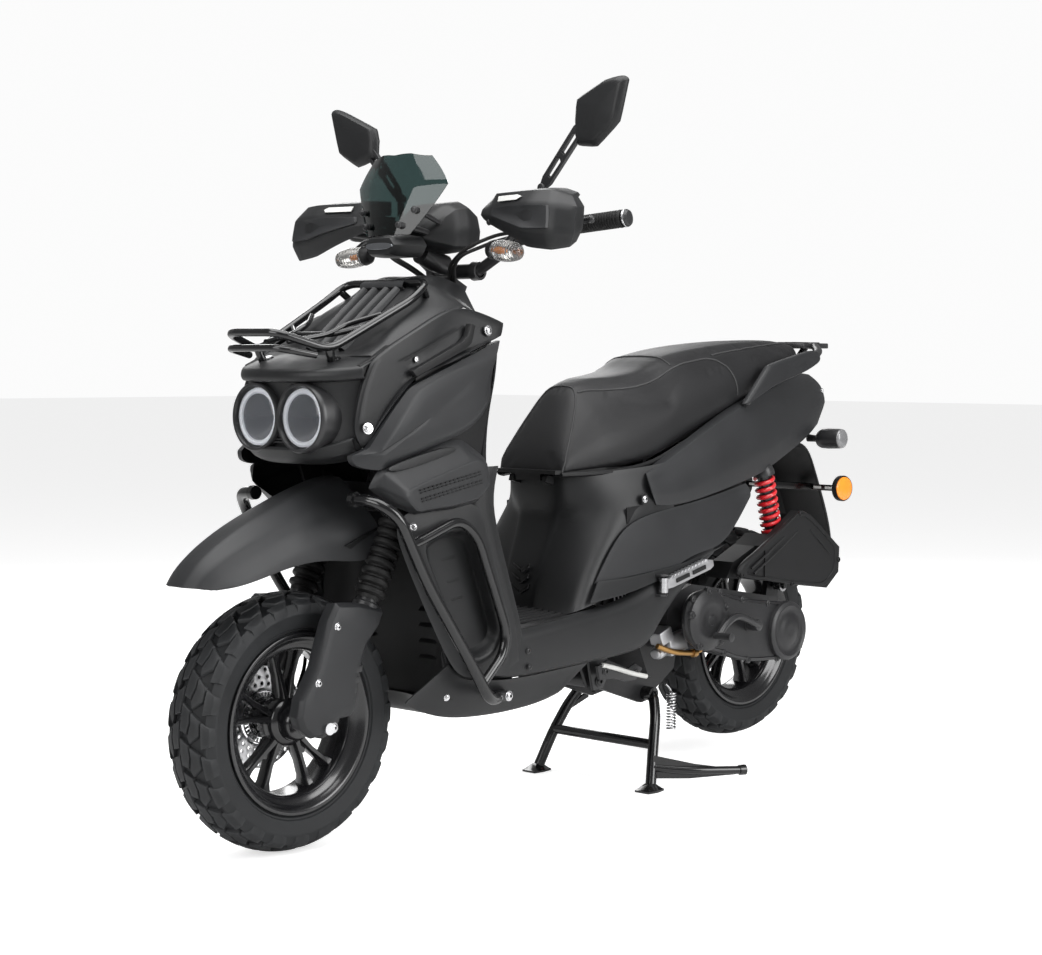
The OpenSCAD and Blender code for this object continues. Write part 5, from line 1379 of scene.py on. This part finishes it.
case_line = at_x(150, (236, 340), (240, 384), (262, 408), (300, 416), (346, 412), (396, 392), (512, 374),
                 (600, 366), (636, 352), (656, 320), (654, 276), (630, 246), (590, 236), (540, 240),
                 (453, 243), (380, 264), (324, 284), (276, 290), (248, 312))
pad([shrunk(case_line, 1.0), shifted(case_line, (30, 0, 0)), shrunk(case_line, 0.97, (38, 0, 0)),
     shrunk(case_line, 0.90, (40, 0, 0)), shrunk(case_line, 0.88, (37, 0, 0)),
     shrunk(case_line, 0.5, (38, 0, 0))],
    crease={1: 0.6, 2: 0.6, 3: 0.7, 4: 0.7}, cap_start=True).build(
    "belt_cover", "swing_unit", CASING, sub=2, replaces=("cvt_cover",))
FAN_AT, KICK_AT = (0, 306, 350), (214, 450, 328)
fan = Piece().lathe([(186, 66), (192, 65), (195, 61), (198, 52), (200, 48), (201, 30), (199, 27), (199, 12),
                     (201, 10), (201, 0.5)], FAN_AT, (1, 0, 0), 56)
for k in range(5):
    a = math.tau * (k + 0.3) / 5
    fan.lathe([(186, 9), (195, 9), (197, 7), (197, 0.5)], about(FAN_AT, 0, 62, a), (1, 0, 0), 20)
    fan.bolt(about(FAN_AT, 197.5, 62, a), (1, 0, 0), 4.5)
fan.build("fan_cover", "swing_unit", CASING, angle=40)
clutch = Piece().lathe([(184, 66), (196, 65), (200, 61), (201, 56), (198, 52), (198, 34), (201, 30),
                        (202, 12), (201, 0.5)], (0, 590, 302), (1, 0, 0), 56)
clutch.build("clutch_cover", "swing_unit", CASING, angle=40)
bolts = Piece()
for y, z in ((258, 398), (350, 404), (430, 384), (524, 368), (640, 346), (646, 262), (560, 243), (452, 250),
             (366, 274), (270, 300)):
    bolts.lathe([(184, 7.5), (189, 7.5), (190, 6), (190, 0.5)], (0, y, z), (1, 0, 0), 16)
    bolts.bolt((190.5, y, z), (1, 0, 0), 4)
bolts.lathe([(186, 14), (192, 14), (193, 11), (193, 9.5)], (0, 450, 328), (1, 0, 0), 28, caps=False)
bolts.build("belt_cover_bolts", "swing_unit", CASING, angle=40)
kick = Piece().pipe([KICK_AT, (216, 418, 342), (216, 372, 358), (217, 330, 340), (217, 308, 320)], 7.5, 30)
kick.lathe([(-22, 9), (-20, 13), (-6, 13), (4, 12), (6, 8)], KICK_AT, (1, 0, 0), 24)
kick.lathe([(-6, 3), (-5, 8), (36, 8), (37, 9.4), (39, 9.4), (40, 4)], (214, 306, 318), (1, 0, 0), 20)
kick.build("kick_pedal", "kick_lever", SATIN, angle=40, replaces=("kick_lever",))

# small parts between the engine and the stand
block = Piece().box((118, 268, 300), (46, 58, 44), 12).box((126, 226, 318), (34, 40, 30), 20)
block.lathe([(0, 15), (20, 15), (24, 11), (32, 11)], (120, 236, 286), (0.2, -1, -0.2), 24)
block.build("gearbox_block", "swing_unit", ALLOY, bevel=3)
bar = Piece().pipe([(140, 196, 300), (150, 236, 284), (152, 300, 276), (150, 330, 280)], 6, 24)
bar.lathe([(0, 9), (12, 9), (12, 6)], (152, 300, 276), (0, 1, 0), 16)
bar.build("bronze_link", "swing_unit", BRONZE)
rod = Piece().pipe([(138, 20, 278), (140, 60, 268), (140, 110, 252), (140, 160, 240)], 5, 40)
rod.build("sleeved_rod", "chassis", WHITE, "steel")
hanger = Piece()
for s in (-1, 1):
    hanger.prism(on_side(s, [(98, 14, 296), (98, 70, 300), (98, 84, 258), (98, 62, 222), (98, 32, 220)]),
                 (s * 7, 0, 0))
    hanger.bolt((s * 107, 48, 238), (s, 0, 0), 9)
hanger.pipe([(-100, 44, 262), (-60, 52, 258), (60, 52, 258), (100, 44, 262)], 9, 20)
hanger.build("hanger_plates", "chassis", SATIN, bevel=1.5)
bracket = Piece().prism([(132, 14, 248), (132, 6, 276), (132, 40, 286), (132, 104, 262), (132, 126, 270),
                         (132, 150, 258), (132, 130, 236), (132, 96, 236), (132, 60, 246)], (6, 0, 0))
bracket.bolt((139, 30, 264), (1, 0, 0), 7).bolt((139, 128, 252), (1, 0, 0), 6)
bracket.build("stand_bracket", "chassis", SATIN, bevel=1.5)
fins = Piece()
for k in range(6):
    y, z = 224 - 14 * k, 363 + 3.3 * k
    fins.lathe([(-1.8, 44), (-1.8, 57), (1.8, 57), (1.8, 44)], (0, y, z), (0, -0.973, 0.229), 40, caps=False)
fins.build("cylinder_fins", "swing_unit", ALLOY, angle=50)

# ---------------------------------------------------------------- exhaust

MUFFLER_AT, MUFFLER_DIR = (-188, 388, 262), (0, 0.987, 0.160)
muffler = Piece().lathe([(0, 10), (2, 22), (16, 34), (40, 41), (60, 42.5), (64, 43.5), (70, 42.5), (300, 44),
                         (306, 45), (312, 44), (350, 43), (366, 36), (372, 24), (372, 14)], MUFFLER_AT,
                        MUFFLER_DIR, 40)
muffler.lathe([(370, 8), (370, 13), (392, 13), (392, 10), (380, 9)], MUFFLER_AT, MUFFLER_DIR, 24)
muffler.build("muffler", "swing_unit", SATIN, "exhaust", angle=40, replaces=("exhaust",))
header = Piece().pipe([(0, 112, 336), (-16, 124, 296), (-92, 200, 262), (-150, 300, 250), (-188, 396, 263)],
                      14, 46, sides=18)
header.lathe([(-6, 20), (-6, 30), (4, 30), (4, 20)], (0, 112, 336), (0.1, 0.3, -0.95), 24)
header.build("exhaust_header", "swing_unit", ALLOY, "exhaust")
shield = Piece()
rows = []
for h in (70, 90, 160, 230, 286, 300):
    row = []
    for k in range(9):
        a = math.radians(118 + k * 17.5)
        r = 52 if 70 < h < 300 else 47
        row.append((-188 + r * math.cos(a), 388 + h * 0.987 - 0.16 * r * math.sin(a),
                    262 + h * 0.160 + r * math.sin(a)))
    rows.append(row)
shield.quads(rows, row_crease={1: 0.4, 4: 0.4}).build("muffler_shield", "swing_unit", PLASTIC, "dark_plastic",
                                                      sub=2, thick=2.5)
cuts = Piece()
for k in range(4):
    h = 110 + k * 44
    for a0 in (160, 190):
        line = []
        for t in range(5):
            a = math.radians(a0 + t * 4)
            line.append((-188 + 53.6 * math.cos(a), 388 + (h + t * 5) * 0.987 - 0.16 * 53 * math.sin(a),
                         262 + (h + t * 5) * 0.160 + 53.6 * math.sin(a)))
        cuts.sweep(line, 2.6, 8)
for h in (84, 288):
    cuts.bolt((-188 - 52, 388 + h * 0.987, 262 + h * 0.16), (-1, 0, 0), 5)
cuts.build("muffler_shield_slots", "swing_unit", GLOSS, "exhaust")
arm = Piece().prism([(-106, 470, 322), (-106, 560, 344), (-106, 640, 352), (-106, 668, 330), (-106, 668, 268),
                     (-106, 610, 260), (-106, 470, 300)], (-8, 0, 0))
arm.box((-128, 540, 322), (44, 26, 12)).box((-128, 640, 330), (44, 26, 12))
arm.bolt((-114, *REAR_AXLE[1:]), (-1, 0, 0), 14)
arm.build("muffler_bracket", "swing_unit", CASING, "alloy", bevel=2.5)

# ---------------------------------------------------------------- front brake


disc_at = (-62, *FRONT_AXLE[1:])
rings = [circle(disc_at, 95, 96, "x"), circle(disc_at, 50, 64, "x")]
for k in range(24):
    for j in range(3):
        rings.append(circle(about(FRONT_AXLE, -62, 62 + 13 * j, math.radians(k * 15 + 5 * j)), 3.6, 12, "x"))
pierced(rings, (4, 0, 0)).build("disc", "front_wheel", DISC, bevel=0.4, replaces=("front_disc",))
spider = Piece()
for k in range(5):
    a = math.radians(72 * k + 20)
    arm_line = ((24, 14), (54, 7), (54, -7), (24, -14))
    spider.prism([about(FRONT_AXLE, -61, math.hypot(out, w), a + math.atan2(w, out)) for out, w in arm_line],
                 (3, 0, 0))
    spider.bolt(about(FRONT_AXLE, -62, 47, a), (-1, 0, 0), 5)
spider.build("disc_carrier", "front_wheel", ALLOY, "steel", bevel=0.8)

for n, (x0, x1) in enumerate(((-84, -66), (-56, -45))):
    line = [by_fork(x0, b, u) for b, u in ((8, 30), (20, 24), (44, 26), (57, 38), (58, 62), (50, 76),
                                           (24, 80), (8, 72))]
    width = x1 - x0
    pad([line, shifted(line, (width * 0.8, 0, 0)), shrunk(line, 0.9, (width, 0, 0))], crease={0: 0.6, 1: 0.4},
        cap_start=True).build("caliper_half_%d" % n, "fork_lower", ALLOY, sub=2,
                              replaces=("brake_caliper",) if n == 0 else ())
caliper = Piece()
for b, u in ((16, 34), (50, 70)):
    caliper.lathe([(0, 5), (0, 7), (38, 7), (38, 5)], by_fork(-84, b, u), (1, 0, 0), 16)
    caliper.bolt(by_fork(-86, b, u), (-1, 0, 0), 6)
for b, u in ((24, 52), (44, 46)):
    caliper.lathe([(0, 14), (4, 14), (6, 11), (6, 1)], by_fork(-84, b, u), (-1, 0, 0), 24)
caliper.build("caliper_pins", "fork_lower", STEEL, angle=40)
hose = Piece().pipe([by_fork(-76, 40, 82), by_fork(-84, 46, 130), by_fork(-110, 34, 200),
                     by_fork(-114, 20, 246)],
                    3.6, 30, sides=10)
hose.build("brake_hose", "fork_lower", RUBBER)

# ---------------------------------------------------------------- centre stand

stand = Piece()
for s in (-1, 1):
    stand.pipe(on_side(s, [(90, 233, 190), (104, 230, 182), (124, 212, 146), (142, 182, 84), (158, 156, 14)]),
               11.5, 26, sides=18)
    stand.lathe([(-14, 9), (-14, 15), (12, 15), (12, 9)], (s * 90, 233, 190), (s, 0, 0), 28)
    foot = on_side(s, [(141, 124, 1), (178, 124, 1), (182, 150, 1), (176, 178, 1), (142, 178, 1),
                       (138, 150, 1)])
    stand.quads([foot, shifted(foot, (0, 0, 4)), shrunk(foot, 0.85, (0, 0, 6)),
                 shrunk(foot, 0.34, (0, 0, 17))],
                closed=True, cap_start=True, cap_end=True)
    stand.prism(on_side(s, [(92, 243, 174), (96, 250, 160), (128, 212, 128), (118, 206, 138)]),
                (s * 4, -3, 0))
stand.pipe([(-140, 186, 92), (140, 186, 92)], 10.5, 8, sides=18)
stand.pipe([(154, 168, 48), (184, 206, 42), (214, 244, 39), (262, 330, 35)], 8.5, 40, sides=14)
stand.prism([(156, 166, 74), (157, 162, 26), (200, 232, 22), (256, 320, 26), (262, 328, 36), (210, 242, 52)],
            (-4, 3, 0))
stand.lathe([(-5, 3), (-4, 11), (10, 11), (12, 8)], (262, 330, 35), (0.47, 0.88, 0), 20)
stand.build("stand_frame", "centre_stand", GLOSS, angle=40, replaces=("centre_stand",))
spring = Piece().coil((126, 262, 112), (126, 262, 194), 9, 1.9, 13, sides=8).build(
    "stand_coil", "swing_unit", STEEL, replaces=("stand_spring",))
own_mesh(spring)
hooks = Piece().pipe([(126, 262, 194), (126, 256, 204), (122, 248, 212)], 2.2, 8, sides=8)
hooks.build("stand_spring_hook", "swing_unit", STEEL)

# ---------------------------------------------------------------- footpegs

for s, side in SIDES:
    a, b = Vector((s * 204, 136, 438)), Vector((s * 204, 297, 475))
    w = (b - a).normalized()
    n = Vector((0, -w.z, w.y))
    peg = Piece()
    blank = [(0, -8), (22, -11), (150, -11), (163, -7), (163, 6), (152, 10)]
    teeth = []
    for k in range(11):
        teeth += [(146 - k * 11.5, 10), (143.5 - k * 11.5, 14), (138.5 - k * 11.5, 14), (136 - k * 11.5, 10)]
    outline = [tuple(a + w * p + n * q - Vector((s * 7, 0, 0))) for p, q in blank + teeth + [(8, 10), (0, 7)]]
    peg.prism(outline, (s * 14, 0, 0))
    peg.build("footpeg_bar_" + side, side + "_footpeg", ALLOY, bevel=1.2, replaces=(side + "_footpeg",))
    pads = Piece()
    for k in range(2):
        pads.box(tuple(a + w * (56 + 56 * k) + Vector((s * 8, 0, 0))), (3, 44, 9),
                 math.degrees(math.atan2(w.z, w.y)))
    pads.build("footpeg_slots_" + side, side + "_footpeg", DARK, "rubber", bevel=1)
    pivot = Piece().lathe([(-16, 3), (-15, 10), (15, 10), (16, 3)], tuple(a), (0, 0, 1), 20)
    pivot.build("footpeg_pivot_" + side, side + "_footpeg", STEEL, angle=40)
    clevis = Piece().prism(on_side(s, [(184, 122, 420), (206, 126, 420), (212, 136, 420), (206, 148, 420),
                                       (184, 156, 420)]), (0, 0, -5))
    clevis.prism(on_side(s, [(184, 122, 461), (206, 126, 461), (212, 136, 461), (206, 148, 461),
                             (184, 156, 461)]), (0, 0, -5))
    clevis.build("footpeg_clevis_" + side, "chassis", SATIN, bevel=1.2)

# ---------------------------------------------------------------- finish of the nodes shown as they are

plain_nodes = {
    "main_frame": SATIN, "steering_bearings": STEEL, "steering_stem": SATIN, "storage_bucket": DARK,
    "fuel_tank": SATIN, "handlebar": SATIN, "switch_housings": DARK, "front_axle": STEEL,
    "starter_button": RED, "horn_button": DARK, "signal_switch": DARK, "ignition_key": STEEL,
    "engine_case": CASING, "airbox": DARK, "shock_bodies": SATIN, "shock_rods": STEEL,
    "seat_base": DARK
}
for name, mat in plain_nodes.items():
    mesh = nodes[name].data
    mesh.materials.clear()
    mesh.materials.append(mat)
    for poly in mesh.polygons:
        poly.material_index = 0

# ---------------------------------------------------------------- stage, light and camera


def seen_white(tree, strength_socket, seen, otherwise):
    """Sets a strength that differs between what the camera sees and what lights the object."""
    path = tree.nodes.new("ShaderNodeLightPath")
    span = tree.nodes.new("ShaderNodeMapRange")
    span.inputs["To Min"].default_value, span.inputs["To Max"].default_value = otherwise, seen
    tree.links.new(path.outputs["Is Camera Ray"], span.inputs["Value"])
    tree.links.new(span.outputs[0], strength_socket)


FLOOR_SEEN, WORLD_SEEN, WORLD_LIGHT = 0.62, 0.97, 0.3  # white in the picture, dimmer as a light
floor_mat = bpy.data.materials.new("studio_white")
floor_mat.use_nodes = True
shader = floor_mat.node_tree.nodes["Principled BSDF"]
shader.inputs["Base Color"].default_value = (0.8, 0.8, 0.8, 1)
shader.inputs["Roughness"].default_value = 0.9
shader.inputs["Emission Color"].default_value = (1, 1, 1, 1)
seen_white(floor_mat.node_tree, shader.inputs["Emission Strength"], FLOOR_SEEN, 0.0)
floor_mesh = bpy.data.meshes.new("studio_floor")
floor_mesh.from_pydata([(x, y, 0) for x, y in ((-40, -40), (40, -40), (40, 40), (-40, 40))], [],
                       [(0, 1, 2, 3)])
floor_mesh.materials.append(floor_mat)
studio_floor = bpy.data.objects.new("studio_floor", floor_mesh)
bpy.context.scene.collection.objects.link(studio_floor)

world = bpy.data.worlds.new("studio")
world.use_nodes = True
background = world.node_tree.nodes["Background"]
background.inputs["Color"].default_value = (1, 1, 1, 1)
seen_white(world.node_tree, background.inputs["Strength"], WORLD_SEEN, WORLD_LIGHT)
bpy.context.scene.world = world


def softbox(name, at, aim, size, power):
    lamp = bpy.data.lights.new(name, "AREA")
    lamp.shape, lamp.size, lamp.size_y, lamp.energy = "RECTANGLE", size[0], size[1], power
    obj = bpy.data.objects.new(name, lamp)
    obj.location = at
    obj.rotation_euler = (Vector(aim) - Vector(at)).to_track_quat("-Z", "Y").to_euler()
    bpy.context.scene.collection.objects.link(obj)


softbox("top_light", (0.4, -0.6, 3.4), (0, 0, 0.6), (3.2, 3.2), 150)
softbox("left_light", (3.6, 0.6, 1.9), (0, 0, 0.6), (2.0, 2.6), 120)
softbox("front_light", (0.6, -4.2, 1.9), (0, 0, 0.7), (2.6, 1.8), 70)
softbox("back_light", (-3.2, 2.6, 2.4), (0, 0, 0.7), (2.2, 2.2), 60)

# the camera stands ahead of the left side at belt height, almost level
CAMERA_AT, FOCAL_MM, SENSOR_MM = (2.8923, -3.2061, 0.8929), 72.11, 36
turn, down, roll = (math.radians(a) for a in (42.75, 3.13, 0.26))
forward = Vector((-math.sin(turn) * math.cos(down), math.cos(turn) * math.cos(down), -math.sin(down)))
right_0 = Vector((math.cos(turn), math.sin(turn), 0))
up_0 = right_0.cross(forward)
right = right_0 * math.cos(roll) + up_0 * math.sin(roll)
up = right.cross(forward)
lens = bpy.data.cameras.new("camera")
lens.lens, lens.sensor_width, lens.sensor_fit = FOCAL_MM, SENSOR_MM, "HORIZONTAL"
lens.clip_end = 100
camera = bpy.data.objects.new("camera", lens)
camera.matrix_world = Matrix([(right[k], up[k], -forward[k], CAMERA_AT[k]) for k in range(3)]
                             + [(0, 0, 0, 1)])
bpy.context.scene.collection.objects.link(camera)
bpy.context.scene.camera = camera
bpy.context.scene.view_settings.view_transform = "Standard"
